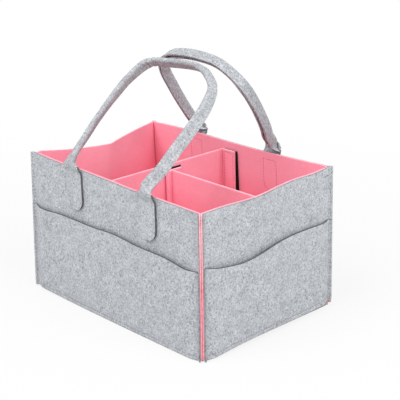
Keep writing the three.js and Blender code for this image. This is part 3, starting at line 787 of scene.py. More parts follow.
# columns of the band as shares of its half width, closest over the fold and at its edges
bandShares = [
    0, 0.045, 0.09, 0.135, 0.18, 0.225, 0.28, 0.36, 0.48, 0.6, 0.72, 0.82, 0.9, 0.95, 0.97, 0.985, 0.996, 1]
bandShares = np.array([-s for s in reversed(bandShares[1:])] + bandShares)


def halfWidthAt(end, z):
    half = handle["belly"] / 2
    above = max(z - (body["rim"] - end["length"]), 0.0)
    if above < half:
        return max(math.sqrt(half * half - (half - above) ** 2), 0.6)
    narrowing = min(max(above / end["length"] - 0.5, 0) * 2, 1)
    return half + (end["neck"] - handle["belly"]) / 2 * narrowing ** 2


def middleAt(end, z):
    # a sewn end may be sewn on a little askew
    return end["x"] + end["slant"] * min((z - body["rim"]) / end["length"] + 1, 1.0)


def rootWidth(end):
    return end["neck"] - 2 * handle["rootInset"]


def hingePoint(wall, end):
    point = wallPoint(wall, shareOf(wall, middleAt(end, body["rim"])), body["rim"], hingeDepth)
    point[2] = hingeHeight
    return point


def curvePoint(points, k, t):
    b, c = points[k], points[k + 1]
    a = points[k - 1] if k > 0 else 2 * b - c
    d = points[k + 2] if k + 2 < len(points) else 2 * c - b
    cubic = -a + 3 * b - 3 * c + d
    square = 2 * a - 5 * b + 4 * c - d
    return 0.5 * (2 * b + (c - a) * t + square * t * t + cubic * t ** 3)


def foldedSection(width, fold):
    # the band's middle line bent about its spine: x across, y towards the open edge
    radius = handle["foldRadius"]
    turn = max(fold, 1e-4) * math.pi
    bend = math.pi * radius
    s = bandShares * width / 2
    inside = np.clip(s, -bend / 2, bend / 2)
    angle = turn * inside / bend
    curve = turn / bend
    x = np.sin(angle) / curve + (s - inside) * np.cos(angle)
    y = (1 - np.cos(angle)) / curve + (s - inside) * np.sin(angle)
    half = handle["felt"] / 2 - cutRound((1 - np.abs(bandShares)) * width / 2, body["cutRound"])
    outer, inner = (
        np.stack([x + np.sin(angle) * off, y - np.cos(angle) * off], axis=-1) for off in (half, -half))
    middle = (min(outer[:, 1].min(), inner[:, 1].min()) + max(outer[:, 1].max(), inner[:, 1].max())) / 2
    return outer - (0, middle), inner - (0, middle)


def tabRow(wall, end, z, sign, lost):
    # one row of a sewn end, flat on the wall; its right-hand edge stands off a little
    x = middleAt(end, z) + sign * bandShares * halfWidthAt(end, z)
    u = shareOf(wall, x)
    side = sign * bandShares
    free = smoothStep((side - 1) / handle["rightRun"] + 1) * smoothStep((body["rim"] + 2 - z) / 10)
    rest = smoothStep((-side - 1) / handle["leftRun"] + 1)
    lift = handle["edgeLift"] * (free + handle["leftPart"] * rest)
    fromEdge = (1 - np.abs(bandShares)) * halfWidthAt(end, z)
    edge = np.maximum(cutRound(fromEdge, body["cutRound"]), lost)
    level = min(z, body["rim"])
    outer = wallPoint(wall, u, level, pocketInner + handle["endFelt"] + lift - edge)
    inner = wallPoint(wall, u, level, pocketInner + lift + edge)
    outer[:, 2] = z
    inner[:, 2] = z
    return outer, inner


def handleBand(name):
    wall = walls[name]
    ends = sewnEnds[name]
    start, stop = (hingePoint(wall, end) for end in ends)
    inwardTurn = math.radians(-90.0 if name == "front" else 90.0)
    rise = np.array([0, 0, handle["rootRise"][name]])
    route = [np.array(p, float) for p in routes[name]]
    points = [np.append(start, route[0][3:]), np.append(start + rise, route[0][3:])] + route
    points += [np.append(stop + rise, route[-1][3:]), np.append(stop, route[-1][3:])]
    samples = [curvePoint(points, k, t) for k in range(len(points) - 1) for t in np.linspace(0, 1, 9)[:-1]]
    samples = np.array(samples + [points[-1]])
    dents = [(x, depth) for owner, x, depth in handle["creases"] if owner == name]
    for x, _ in dents:
        # a few closer rows over each crease
        high = samples[:, 2] > handle["creaseHeight"]
        nearest = int(np.argmin(np.where(high, np.abs(samples[:, 0] - x), 1e9)))
        a, b = samples[nearest - 1], samples[nearest + 1]
        extra = [a * (1 - t) + b * t for t in np.linspace(0.1, 0.9, 9)]
        samples = np.concatenate([samples[:nearest], extra, samples[nearest + 1:]])
    path, twist = samples[:, :3], np.radians(samples[:, 3])
    run = runAlong(path)
    foldLine = (stop - start) * np.sign(stop[0] - start[0]) * (1, 1, 0)
    inwards = np.cross((0, 0, 1), foldLine)
    inwards /= np.linalg.norm(inwards)
    rng = np.random.default_rng(11 if name == "front" else 29)
    phases = rng.uniform(0, 2 * np.pi, 6)

    def strapRow(centre, tangent, angle, width, fold=0.0, wobble=0.0):
        away = inwards - tangent * (tangent @ inwards)
        away /= np.linalg.norm(away)
        side = np.cross(away, tangent)
        opening = -(side * math.cos(angle) + away * math.sin(angle))
        across = -np.cross(tangent, opening)
        grow = 1 + wobble
        return tuple(
            centre + across * (face[:, :1] * grow) + opening * face[:, 1:]
            for face in foldedSection(width, fold)
        )

    def rootRows(end, hinge, sign, up):
        # from the rounded end of the flat part up to just below the fold line
        foot = body["rim"] - end["length"]
        rises = edgeSteps(body["cutRound"]) + [1.2, 2.0, 3.0, 4.3, 6.0, 8.0, 10.5, 13.5]
        rises += list(np.linspace(17, end["length"] - 8, 11))
        rises += list(np.linspace(end["length"] - 6, end["length"] + handle["hingeRise"] - 0.6, 9))
        rows = []
        for above in rises:
            z = foot + above
            outer, inner = tabRow(wall, end, z, sign, cutRound(above, body["cutRound"]))
            share = float(smoothStep((z - (body["rim"] - 6)) / (hingeHeight - body["rim"] + 6)))
            if share > 0:
                centre = hinge + np.array([0, 0, z - hingeHeight])
                free = strapRow(centre, np.array([0, 0, up]), inwardTurn, rootWidth(end))
                outer = outer * (1 - share) + free[0] * share
                inner = inner * (1 - share) + free[1] * share
            rows.append((outer, inner))
        return rows

    columnWay = 1.0 if name == "front" else -1.0        # of the band's columns along X at its first end
    fold = handle["closedFold"][name]
    rows = rootRows(ends[0], start, columnWay, 1.0)
    for k, centre in enumerate(path):
        before, after = path[max(k - 1, 0)], path[min(k + 1, len(path) - 1)]
        tangent = (after - before) / np.linalg.norm(after - before)
        end = ends[0] if run[k] < run[-1] / 2 else ends[1]
        # near its ends every strand of the band runs straight from the flat part to the fold
        fromEnd = min(run[k], run[-1] - run[k])
        folded = 1 - max(1 - fromEnd / end["flare"], 0) ** 2
        along = run[k] / handle["wobbleRun"]
        sway = math.sin(along + phases[0]) + 0.6 * math.sin(2.3 * along + phases[1])
        bandWidth = handle["bandWidth"] * samples[k, 4]
        row = strapRow(centre, tangent, twist[k], bandWidth, fold, handle["wobble"] * folded * sway)
        for x, depth in dents:
            if centre[2] > handle["creaseHeight"]:
                pinch = 1 - depth * math.exp(-((centre[0] - x) / handle["creaseWidth"]) ** 2)
                row = tuple(centre + (face - centre) * pinch for face in row)
        if "flat" in end:
            # at the back the band stays flat while it leans in, and its halves then swing together
            folded = float(smoothStep((fromEnd - end["flat"]) / (end["flare"] - end["flat"])))
            width = rootWidth(end) * (1 - folded) + bandWidth * folded
            angle = inwardTurn * (1 - folded) + twist[k] * folded
            if folded < 1:
                row = strapRow(centre, tangent, angle, width, fold * folded)
        elif folded < 1:
            flat = strapRow(centre, tangent, inwardTurn, rootWidth(end))
            row = tuple(a * (1 - folded) + b * folded for a, b in zip(flat, row))
        rows.append(row)
    rows += reversed(rootRows(ends[1], stop, -columnWay, -1.0))
    return [np.stack(faces) for faces in zip(*rows)]


for name in ("front", "back"):
    outer, inner = handleBand(name)
    piece = sheetFrom(f"{name}_handle_band", outer, inner, [greyFelt, greyShadowEdge])
    # painted shade: the free band is a little darker than its sewn ends, for the shade on it; its edges take
    # the plain cut edge, without the sewn ends' painted shadow
    mesh = piece.data
    mesh.materials.append(bandShadeFelt)
    mesh.materials.append(greyCut)
    for polygon in mesh.polygons:
        if polygon.center.z > (body["rim"] + handle["clearRise"]) * mm:
            polygon.material_index += 2
    # the fold point at the rim and the blend run are looked up, and the band's points are set in world space
    fold = hingePoint(walls[name], sewnEnds[name][0]) * mm
    below, above = handle["blendRun"]
    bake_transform(piece)
    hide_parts(f"{name}_tab_left", f"{name}_tab_right", f"{name}_handle_strap")
print("handles made")


# Dividers

divider = {
    "felt": 3.0, "cutRound": 0.6,
    "longX": -19.0, "longSkew": 0.04, "longTop": 176.0, "longFlap": 20.0,
    "shortY": 3.0, "shortTop": 170.0, "shortFlap": 15.0,
    "foot": floorTop + 0.3, "flapShort": 0.01,      # a flap is this much shorter at its top and foot
    "noseGap": 0.12,            # between the short divider's left fold and the long divider
    "bendRadius": 1.7,          # of the felt's middle layer where a flap is folded over
    "bendRun": 3.0,             # length of the panel that belongs to the fold
    "flapSwing": 38.0, "swingRadius": 1.6,      # the felt swings out before a fold, a groove is left in it
    "flapGap": 0.3,             # between a panel and its flap in the CAD, beyond the bend
    # how much of the felt takes part in a flap's bend: mm along the panel and along the flap, before
    # and after the fold, and on the flap alone past the bulging fold; and the height to measure at
    "blendBefore": (2.6, 1.0), "blendAfter": (0.2, 2.6), "noseBlend": (0.4, 5.0), "blendHeight": 90.0,
    # the short divider's bulging left fold, and how softly its flap then settles on the tape
    "noseTurn": 85.0, "noseBend": 1.2, "noseRun": 3.2, "noseRadius": 2.0, "settleRadius": 2.6,
}
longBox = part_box("long_divider_panel")
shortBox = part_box("short_divider_panel")
frontEnd, backEnd = longBox[0].y / mm, longBox[1].y / mm
leftEnd, rightEnd = shortBox[0].x / mm, shortBox[1].x / mm
halfFelt = divider["felt"] / 2


def longMiddleX(y):
    return divider["longX"] + divider["longSkew"] * y


def plainRows(low, high, size, step=6.0):
    middle = np.linspace(low + 2.5, high - 2.5, max(int((high - low) / step), 3))
    return betweenEdges(low, middle, high, size)


def standingSheet(name, line, low, high, thickness, materials, cutEnds=(True, True)):
    # A panel over a line in plan; cut at its top and foot, and at its ends where cutEnds says so.
    size = min(divider["cutRound"], 0.45 * thickness)
    line = np.asarray(line, float)
    run = runAlong(line)
    places = [run[0]]
    if cutEnds[0]:
        places = list(run[0] + np.array(edgeSteps(size)))
    inside = [r for r in run[1:-1] if r > places[-1] + 0.2 and (not cutEnds[1] or r < run[-1] - size - 0.2)]
    stops = list(run[-1] - np.array(edgeSteps(size)[::-1])) if cutEnds[1] else [run[-1]]
    marks = [places[-1]] + inside + [stops[0]]
    extra = []
    for a, b in zip(marks[:-1], marks[1:]):
        extra += list(np.linspace(a, b, max(int((b - a) / 6), 1) + 1)[1:-1])
    places = np.array(sorted(places + inside + extra + stops))
    xy = np.stack([np.interp(places, run, line[:, k]) for k in (0, 1)], axis=-1)
    way = np.gradient(xy, places, axis=0)
    way /= np.linalg.norm(way, axis=1)[:, None]
    normal = np.stack([-way[:, 1], way[:, 0]], axis=-1)
    z = plainRows(low, high, size)
    half = thickness / 2 - np.maximum(edgeLoss(z, size)[:, None], edgeLoss(places, size, cutEnds))

    def side(sign):
        flat = xy[None] + sign * normal[None] * half[..., None]
        height = np.broadcast_to(z[:, None, None], flat.shape[:2] + (1,))
        return np.concatenate([flat, height], axis=-1)

    ends = tuple(4 if cut else 0 for cut in cutEnds)
    return sheetFrom(name, side(1), side(-1), materials, edgeColumns=ends)


def rotated(vector, angle):
    cos, sin = math.cos(angle), math.sin(angle)
    return np.array([vector[0] * cos - vector[1] * sin, vector[0] * sin + vector[1] * cos])


def turnBy(line, way, radius, angle, steps=7):
    # carry a line on round an arc, anticlockwise for a positive angle
    centre = line[-1] + radius * np.sign(angle) * np.array([-way[1], way[0]])
    spoke = line[-1] - centre
    line += [centre + rotated(spoke, t) for t in np.linspace(0, angle, steps)[1:]]
    return rotated(way, angle)


def noseLength():
    # how far along X the bulging fold reaches
    turn = math.radians(divider["noseTurn"])
    out = divider["noseBend"] * math.sin(turn) + divider["noseRun"] * math.cos(turn)
    return out + divider["noseRadius"] * (1 + math.sin(turn))


def noseLine(start, flapX, slope, reach):
    # the short divider's felt swings out near the long divider, turns back along it and then
    # lies on its tape
    turn = math.radians(divider["noseTurn"])
    line = [np.array(start, float)]
    way = turnBy(line, np.array([-1.0, 0.0]), divider["noseBend"], turn, 5)
    line.append(line[-1] + way * divider["noseRun"])
    way = turnBy(line, way, divider["noseRadius"], -turn - math.pi / 2, 11)
    across = flapX - line[-1][0]
    radius = divider["settleRadius"]
    angle = math.acos(1 - across / (2 * radius))
    way = turnBy(line, way, radius, -angle)
    way = turnBy(line, way, radius, angle - slope)
    return line + [line[-1] + way * (reach - line[-1][1]) / way[1]]


def flapLine(corner, panelWay, flapWay, reach):
    # the middle line of a flap: a short run of the panel that swings out, a tight bend, then
    # straight to its cut end
    side = np.sign(panelWay[0] * flapWay[1] - panelWay[1] * flapWay[0])
    square = side * math.acos(np.clip(panelWay @ flapWay, -1, 1))
    swing = math.radians(divider["flapSwing"])
    radius = divider["bendRadius"]
    advance = (divider["swingRadius"] + radius) * math.sin(swing) + radius
    line = [corner - panelWay * (radius + divider["bendRun"])]
    way = turnBy(line, panelWay, divider["swingRadius"], -side * swing, 5)
    line.append(line[-1] + way * (radius + divider["bendRun"] - advance) / math.cos(swing))
    turnBy(line, way, radius, square + side * swing, 13)
    return line + [corner + flapWay * reach]


longStart = frontEnd + halfFelt + divider["bendRadius"] + divider["bendRun"]
longStop = backEnd - halfFelt - divider["bendRadius"] - divider["bendRun"]
longLine = [(longMiddleX(y), y) for y in (longStart, longStop)]
shortMiddleY = divider["shortY"]
longFace = longMiddleX(shortMiddleY) + halfFelt
shortStart = longFace + divider["noseGap"] + halfFelt + noseLength()
shortStop = rightEnd - halfFelt - divider["bendRadius"] - divider["bendRun"]
shortLine = [(x, shortMiddleY) for x in (shortStart, shortStop)]
for name, line, top in (
    ("long_divider", longLine, divider["longTop"]), ("short_divider", shortLine, divider["shortTop"]),
):
    panel = standingSheet(
        f"{name}_felt", line, divider["foot"], top, divider["felt"], [pinkFelt, pinkCut], (False, False))
    finishPiece(panel, name, [f"{name}_panel"])

longWay = np.array([divider["longSkew"], 1.0]) / math.hypot(divider["longSkew"], 1)
longFlap = {
    "panelBody": "long_divider", "top": divider["longTop"],
    "reach": halfFelt + divider["flapGap"] + divider["longFlap"],
}
shortFlap = {
    "panelBody": "short_divider", "top": divider["shortTop"],
    "reach": halfFelt + divider["flapGap"] + divider["shortFlap"],
}
# where the fold is, and the ways in which the panel meets it and the flap leaves it
flaps = {
    "long_divider_back_flap": {
        **longFlap, "body": "long_back_flap",
        "corner": (longMiddleX(backEnd - halfFelt), backEnd - halfFelt),
        "panelWay": longWay, "flapWay": (1, 0),
    },
    "long_divider_front_flap": {
        **longFlap, "body": "long_front_flap",
        "corner": (longMiddleX(frontEnd + halfFelt), frontEnd + halfFelt),
        "panelWay": -longWay, "flapWay": (1, 0),
    },
    "short_divider_left_flap": {
        **shortFlap, "body": "short_left_flap",
        "corner": (leftEnd + halfFelt, shortMiddleY), "panelWay": (-1, 0), "flapWay": longWay,
    },
    "short_divider_right_flap": {
        **shortFlap, "body": "short_right_flap",
        "corner": (rightEnd - halfFelt, shortMiddleY), "panelWay": (1, 0), "flapWay": (0, 1),
    },
}
for flap in flaps.values():
    for key in ("corner", "panelWay", "flapWay"):
        flap[key] = np.array(flap[key], float)
for name, flap in flaps.items():
    corner, panelWay, flapWay = flap["corner"], flap["panelWay"], flap["flapWay"]
    line = flapLine(corner, panelWay, flapWay, flap["reach"])
    before, after = divider["blendBefore"], divider["blendAfter"]
    begin = corner - panelWay * before[0] - flapWay * before[1]
    finish = corner + panelWay * after[0] + flapWay * after[1]
    if name == "short_divider_left_flap":
        # the left flap's felt begins at the short divider's bulging nose, and its blend span is taken along
        # the flap
        flapEnd = shortMiddleY + flap["reach"]
        line = noseLine((shortStart, shortMiddleY), corner[0] + 0.1, math.atan(divider["longSkew"]), flapEnd)
        begin, finish = (corner + flapWay * run for run in divider["noseBlend"])
    foot, top = divider["foot"] + divider["flapShort"], flap["top"] - divider["flapShort"]
    piece = standingSheet(
        f"{name}_felt", line, foot, top, divider["felt"], [pinkFelt, pinkCut], (False, True))
    begin, finish = ((*(spot * mm), divider["blendHeight"] * mm) for spot in (begin, finish))
    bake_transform(piece)
    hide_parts(name)
print("dividers made")


# Hook and loop tapes

tape = {
    "thickness": 1.2, "wallGap": 0.25, "wallRound": 0.4,
    "noseRoom": 4.2,            # where the two tapes behind the nose of the short divider's fold begin
    "skewReach": 2.6, "skewRise": 0.7, "wallReach": 1.2,    # how far tapes look out past their CAD solids
}


def boxOf(node):
    return [np.array(corner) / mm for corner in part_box(node)]


def straightTape(name, node, bodyName, material):
    # a flat tape over the place of its CAD solid, with its edges softened
    low, high = boxOf(node)
    if high[0] - low[0] < high[1] - low[1]:
        middle = [((low[0] + high[0]) / 2, low[1]), ((low[0] + high[0]) / 2, high[1])]
    else:
        middle = [(low[0], (low[1] + high[1]) / 2), (high[0], (low[1] + high[1]) / 2)]
    piece = standingSheet(name, middle, low[2], high[2], tape["thickness"], [material, material])
    return finishPiece(piece, bodyName, [node])


def skewTape(name, node, bodyName, material):
    # the same along the long divider, which stands a little askew
    low, high = boxOf(node)
    x, y = (low[0] + high[0]) / 2, (low[1] + high[1]) / 2
    ends = (max(low[1], tape["noseRoom"]), high[1] + tape["skewReach"])
    middle = [(x + divider["longSkew"] * (end - y), end) for end in ends]
    top = high[2] + (tape["skewRise"] if material is loopTape else 0)
    piece = standingSheet(name, middle, low[2], top, tape["thickness"], [material, material])
    return finishPiece(piece, bodyName, [node])


def wallTape(name, node, wall):
    # a tape that follows the lining's soft face
    low, high = boxOf(node)
    axis = 0 if wall["turned"] else 1
    size = tape["wallRound"]
    across = plainRows(low[axis], high[axis] + tape["wallReach"], size, 3.0)
    z = plainRows(low[2], high[2], size)
    lost = np.maximum(edgeLoss(z, size)[:, None], edgeLoss(across, size))
    outer = liningInner - tape["wallGap"]
    u = shareOf(wall, across)[None, :]
    front = wallPoint(wall, u, z[:, None], outer - lost)
    back = wallPoint(wall, u, z[:, None], outer - tape["thickness"] + lost)
    piece = sheetFrom(name, front, back, [loopTape, loopTape])
    return finishPiece(piece, "shell", [node])


straightTape("back_flap_hook_tape", "long_divider_back_flap_hook_tape", "long_back_flap", hookTape)
straightTape("front_flap_hook_tape", "long_divider_front_flap_hook_tape", "long_front_flap", hookTape)
skewTape("left_flap_hook_tape", "short_divider_left_flap_hook_tape", "short_left_flap", hookTape)
straightTape("right_flap_hook_tape", "short_divider_right_flap_hook_tape", "short_right_flap", hookTape)
skewTape("long_divider_loop_tape", "divider_loop_tape", "long_divider", loopTape)
wallTape("front_loop_tape", "front_wall_loop_tape", walls["front"])
wallTape("back_loop_tape", "back_wall_loop_tape", walls["back"])
wallTape("right_end_loop_tape", "right_wall_loop_tape", walls["right_end"])
print("tapes made")


# Stitches, laid along seam lines by Geometry Nodes

stitch = {
    "pitch": 4.2,           # mm from one stitch to the next
    "length": 3.2,
    "thread": 0.75,         # thicker than the real 0.5 mm so that it shows at this distance
    "arch": 0.45,           # how far the middle of a stitch stands above the felt
    "seed": 7,
    "footClear": 4.0, "mouthClear": (1.5, 2.0), "rimClear": 3.0,    # where a corner's rows begin and stop
    "tapeInset": 2.2, "flapInset": 1.6,     # from the edges of a tape and of a flap
    # a flap's seam off its bend, its end, and its foot and top
    "bendClear": 0.9, "endClear": 1.2, "flapClear": (1.0, 1.5),
    # a short tack below the rim of the right end
    "tackFrom": 0.925, "tackTo": 0.985, "tackDrop": 8.0,
}
longStitch = {"length": 4.9, "arch": 0.3}      # on the pink felt
stitchInputs = {"Pitch": "pitch", "Stitch length": "length", "Thread width": "thread", "Arch": "arch"}


def stitchTree():
    tree = bpy.data.node_groups.new("stitch_rows", "GeometryNodeTree")
    face = tree.interface
    face.new_socket("Geometry", in_out="INPUT", socket_type="NodeSocketGeometry")
    for label, key in stitchInputs.items():
        made = face.new_socket(label, in_out="INPUT", socket_type="NodeSocketFloat")
        made.default_value = stitch[key] * mm
    face.new_socket("Seed", in_out="INPUT", socket_type="NodeSocketInt").default_value = stitch["seed"]
    face.new_socket("Thread", in_out="INPUT", socket_type="NodeSocketMaterial")
    face.new_socket("Geometry", in_out="OUTPUT", socket_type="NodeSocketGeometry")
    given = addNode(tree, "NodeGroupInput").outputs
    rows = addNode(tree, "GeometryNodeMeshToCurve", links={"Mesh": given["Geometry"]})
    spaced = addNode(
        tree, "GeometryNodeResampleCurve", {"mode": "LENGTH"},
        links={"Curve": rows.outputs["Curve"], "Length": given["Pitch"]},
    )
    # one stitch: a short arch whose ends sink into the felt
    back, ahead, sink, peak, radius = (
        addNode(tree, "ShaderNodeMath", {"operation": "MULTIPLY"}, {1: share}, {0: given[label]}).outputs[0]
        for label, share in (
            ("Stitch length", -0.5), ("Stitch length", 0.5), ("Thread width", -0.7), ("Arch", 1.6),
            ("Thread width", 0.5),
        )
    )
    start, top, stop = (
        addNode(tree, "ShaderNodeCombineXYZ", links=links)
        for links in ({"X": back, "Z": sink}, {"Z": peak}, {"X": ahead, "Z": sink})
    )
    arch = addNode(
        tree, "GeometryNodeCurveQuadraticBezier", values={"Resolution": 5},
        links={"Start": start.outputs[0], "Middle": top.outputs[0], "End": stop.outputs[0]},
    )
    ring = addNode(tree, "GeometryNodeCurvePrimitiveCircle", {}, {"Resolution": 6}, {"Radius": radius})
    shape = addNode(
        tree, "GeometryNodeCurveToMesh", values={"Fill Caps": True},
        links={"Curve": arch.outputs["Curve"], "Profile Curve": ring.outputs["Curve"]},
    )
    lift = addNode(tree, "GeometryNodeInputNamedAttribute", {"data_type": "FLOAT_VECTOR"}, {"Name": "lift"})
    along = addNode(tree, "GeometryNodeInputTangent")
    stand = addNode(
        tree, "FunctionNodeAlignRotationToVector", {"axis": "Z"}, links={"Vector": lift.outputs["Attribute"]},
    )
    turned = addNode(
        tree, "FunctionNodeAlignRotationToVector", {"axis": "X", "pivot_axis": "Z"},
        links={"Rotation": stand.outputs["Rotation"], "Vector": along.outputs["Tangent"]},
    )
    vary = addNode(
        tree, "FunctionNodeRandomValue", {"data_type": "FLOAT"}, {2: 0.86, 3: 1.08}, {"Seed": given["Seed"]})
    placed = addNode(
        tree, "GeometryNodeInstanceOnPoints",
        links={
            "Points": spaced.outputs["Curve"], "Instance": shape.outputs["Mesh"],
            "Rotation": turned.outputs["Rotation"], "Scale": vary.outputs[1],
        },
    )
    real = addNode(tree, "GeometryNodeRealizeInstances", links={"Geometry": placed.outputs["Instances"]})
    smooth = addNode(tree, "GeometryNodeSetShadeSmooth", links={"Geometry": real.outputs["Geometry"]})
    coloured = addNode(
        tree, "GeometryNodeSetMaterial",
        links={"Geometry": smooth.outputs["Geometry"], "Material": given["Thread"]},
    )
    addNode(tree, "NodeGroupOutput", links={"Geometry": coloured.outputs["Geometry"]})
    return tree


stitchRows = stitchTree()


def sewLines(name, lines, bodyName, material, sizes={}):
    # lines: lists of (point, lift) in mm; all of them become one plain mesh of stitches
    points, lifts, edges = [], [], []
    for line in lines:
        first = len(points)
        points += [tuple(np.asarray(p) * mm) for p, _ in line]
        lifts += [tuple(np.asarray(n) / np.linalg.norm(n)) for _, n in line]
        edges += [(k, k + 1) for k in range(first, len(points) - 1)]
    mesh = bpy.data.meshes.new(name + "_rows")
    mesh.from_pydata(points, edges, [])
    lift = mesh.attributes.new("lift", "FLOAT_VECTOR", "POINT")
    lift.data.foreach_set("vector", np.array(lifts, np.float32).ravel())
    source = addObject(name + "_rows", mesh)
    nodes = source.modifiers.new("stitches", "NODES")
    nodes.node_group = stitchRows
    wanted = {**stitch, **sizes}
    values = {label: wanted[key] * mm for label, key in stitchInputs.items()}
    values |= {"Seed": wanted["seed"], "Thread": material}
    for item in stitchRows.interface.items_tree:
        if item.in_out == "INPUT" and item.name in values:
            nodes[item.identifier] = values[item.name]
    bpy.context.view_layer.update()
    made = bpy.data.meshes.new_from_object(source.evaluated_get(bpy.context.evaluated_depsgraph_get()))
    made.name = name
    piece = addObject(name, made)
    bpy.data.objects.remove(source)
    return finishPiece(piece, bodyName, [])


def gridSpot(grid, row, column):
    # point and outward normal on a grid at a fractional column
    low = int(min(max(math.floor(column), 0), grid.shape[1] - 2))
    share = column - low
    point = grid[row, low] * (1 - share) + grid[row, low + 1] * share
    down, up = max(row - 1, 0), min(row + 1, grid.shape[0] - 1)
    normal = np.cross(grid[row, low + 1] - grid[row, low], grid[up, low] - grid[down, low])
    return point, normal / max(np.linalg.norm(normal), 1e-9)


def outwardOf(wall, normal):
    out = np.array([*wall["out"], 0.0])
    return normal if normal @ out > 0 else -normal


def cornerRow(wall, grid, atEnd, low, high):
    # a stitch row along a corner seam, at a fixed distance from the seam's cut edge
    line = []
    for row in range(grid.shape[0]):
        strip = grid[row, ::-1] if atEnd else grid[row]
        z = strip[0, 2]
        if not low < z < high:
            continue
        run = runAlong(strip[:30])
        column = float(np.interp(body["cornerSeam"], run, np.arange(len(run))))
        if atEnd:
            column = grid.shape[1] - 1 - column
        point, normal = gridSpot(grid, row, column)
        line.append((point, outwardOf(wall, normal)))
    return line


outsideLines = []
for name, wall in walls.items():
    pocketGrid, panelGrid = layers[name, "pocket"][0], layers[name, "panel"][0]
    for atEnd in (False, True):
        u = 1.0 if atEnd else 0.0
        mouth = float(pocketTop(pockets[name], u))
        foot, rim = footAt(wall, u) + stitch["footClear"], rimAt(wall, u) - stitch["rimClear"]
        below, above = stitch["mouthClear"]
        outsideLines.append(cornerRow(wall, pocketGrid, atEnd, foot, mouth - below))
        outsideLines.append(cornerRow(wall, panelGrid, atEnd, mouth + above, rim))
    footLine = []
    for column in range(8, pocketGrid.shape[1] - 8):
        point, normal = gridSpot(pocketGrid, seamRowIndex, column)
        footLine.append((point, outwardOf(wall, normal)))
    outsideLines.append(footLine)


def wallSpot(wall, x, z, depth):
    point = wallPoint(wall, shareOf(wall, x), z, depth)
    return point, np.array([*wall["out"], 0.0])


def tabOutline(end, inset, fromRim):
    # the stitch loop of a sewn end: down one side, round it, up the other and across below the rim
    foot = body["rim"] - end["length"]
    top = body["rim"] - fromRim
    half = handle["belly"] / 2
    sides = [(halfWidthAt(end, z) - inset, z) for z in np.linspace(top, foot + half, 12)]
    radius = half - inset
    turns = np.linspace(0, math.pi, 17)[1:-1]
    arc = [(radius * math.cos(a), foot + half - radius * math.sin(a)) for a in turns]
    loop = [(-x, z) for x, z in sides + arc] + [(x, z) for x, z in reversed(sides)]
    loop += [(x, top) for x in np.linspace(sides[0][0], -sides[0][0], 8)[1:]]
    return [(middleAt(end, z) + x, z) for x, z in loop]


tabLines, liningLines = [], []
for name, ends in sewnEnds.items():
    wall = walls[name]
    for end in ends:
        loop = tabOutline(end, handle["stitchInset"], 4.0)
        tabLines.append([wallSpot(wall, x, z, pocketInner + handle["endFelt"]) for x, z in loop])
        inside = tabOutline(end, handle["liningInset"], handle["liningTop"])
        spots = (wallSpot(wall, x + handle["liningShift"], z, liningInner) for x, z in inside)
        liningLines.append([(point, -normal) for point, normal in spots])

tackWall = walls["right_end"]
outsideLines.append([
    (wallPoint(tackWall, u, body["rim"] - stitch["tackDrop"], outerOuter), np.array([1.0, 0, 0]))
    for u in np.linspace(stitch["tackFrom"], stitch["tackTo"], 6)
])
sewLines("outside_stitches", outsideLines, "shell", greyThread)
sewLines("handle_stitches", tabLines, "shell", paleThread)
sewLines("lining_stitches", liningLines, "shell", pinkThread, longStitch)


def rectangleOn(origin, way, width, low, high, lift, inset):
    # a stitched rectangle on a standing face
    origin, way = np.array(origin, float), np.array([*way, 0.0])
    left, right, foot, top = inset, width - inset, low + inset, high - inset
    marks = [(left, foot), (left, top), (right, top), (right, foot), (left, foot)]
    line = []
    for (a, za), (b, zb) in zip(marks[:-1], marks[1:]):
        for t in np.linspace(0, 1, 12)[:-1]:
            spot = origin + way * (a + (b - a) * t)
            line.append((np.array([spot[0], spot[1], za + (zb - za) * t]), lift))
    line.append((line[0][0], lift))
    return line


for name, flap in flaps.items():
    flapWay, inner = flap["flapWay"], -flap["panelWay"]
    start = flap["corner"] + flapWay * (halfFelt + stitch["bendClear"]) + inner * halfFelt
    width = flap["reach"] - halfFelt - stitch["endClear"]
    low, high = divider["foot"] + stitch["flapClear"][0], flap["top"] - stitch["flapClear"][1]
    loop = rectangleOn((*start, 0), flapWay, width, low, high, (*inner, 0), stitch["flapInset"])
    sewLines(f"{name}_stitches", [loop], flap["body"], pinkThread, longStitch)

# the loop tape's seam comes out on the other face of the long divider
low, high = boxOf("divider_loop_tape")
start = (longMiddleX(low[1]) - halfFelt, low[1], 0)
loop = rectangleOn(start, longWay, high[1] - low[1], low[2], high[2], (-1, 0, 0), stitch["tapeInset"])
sewLines("long_divider_stitches", [loop], "long_divider", pinkThread, longStitch)
print("stitches made")


# Floor, light and camera

def seenShare(tree):
    # 1 for rays that come from the camera, directly or by a gloss or a glass
    path = addNode(tree, "ShaderNodeLightPath").outputs
    seen = path["Is Camera Ray"]
    for kind in ("Is Glossy Ray", "Is Transmission Ray"):
        either = addNode(tree, "ShaderNodeMath", {"operation": "MAXIMUM"}, {}, {0: seen, 1: path[kind]})
        seen = either.outputs[0]
    return seen


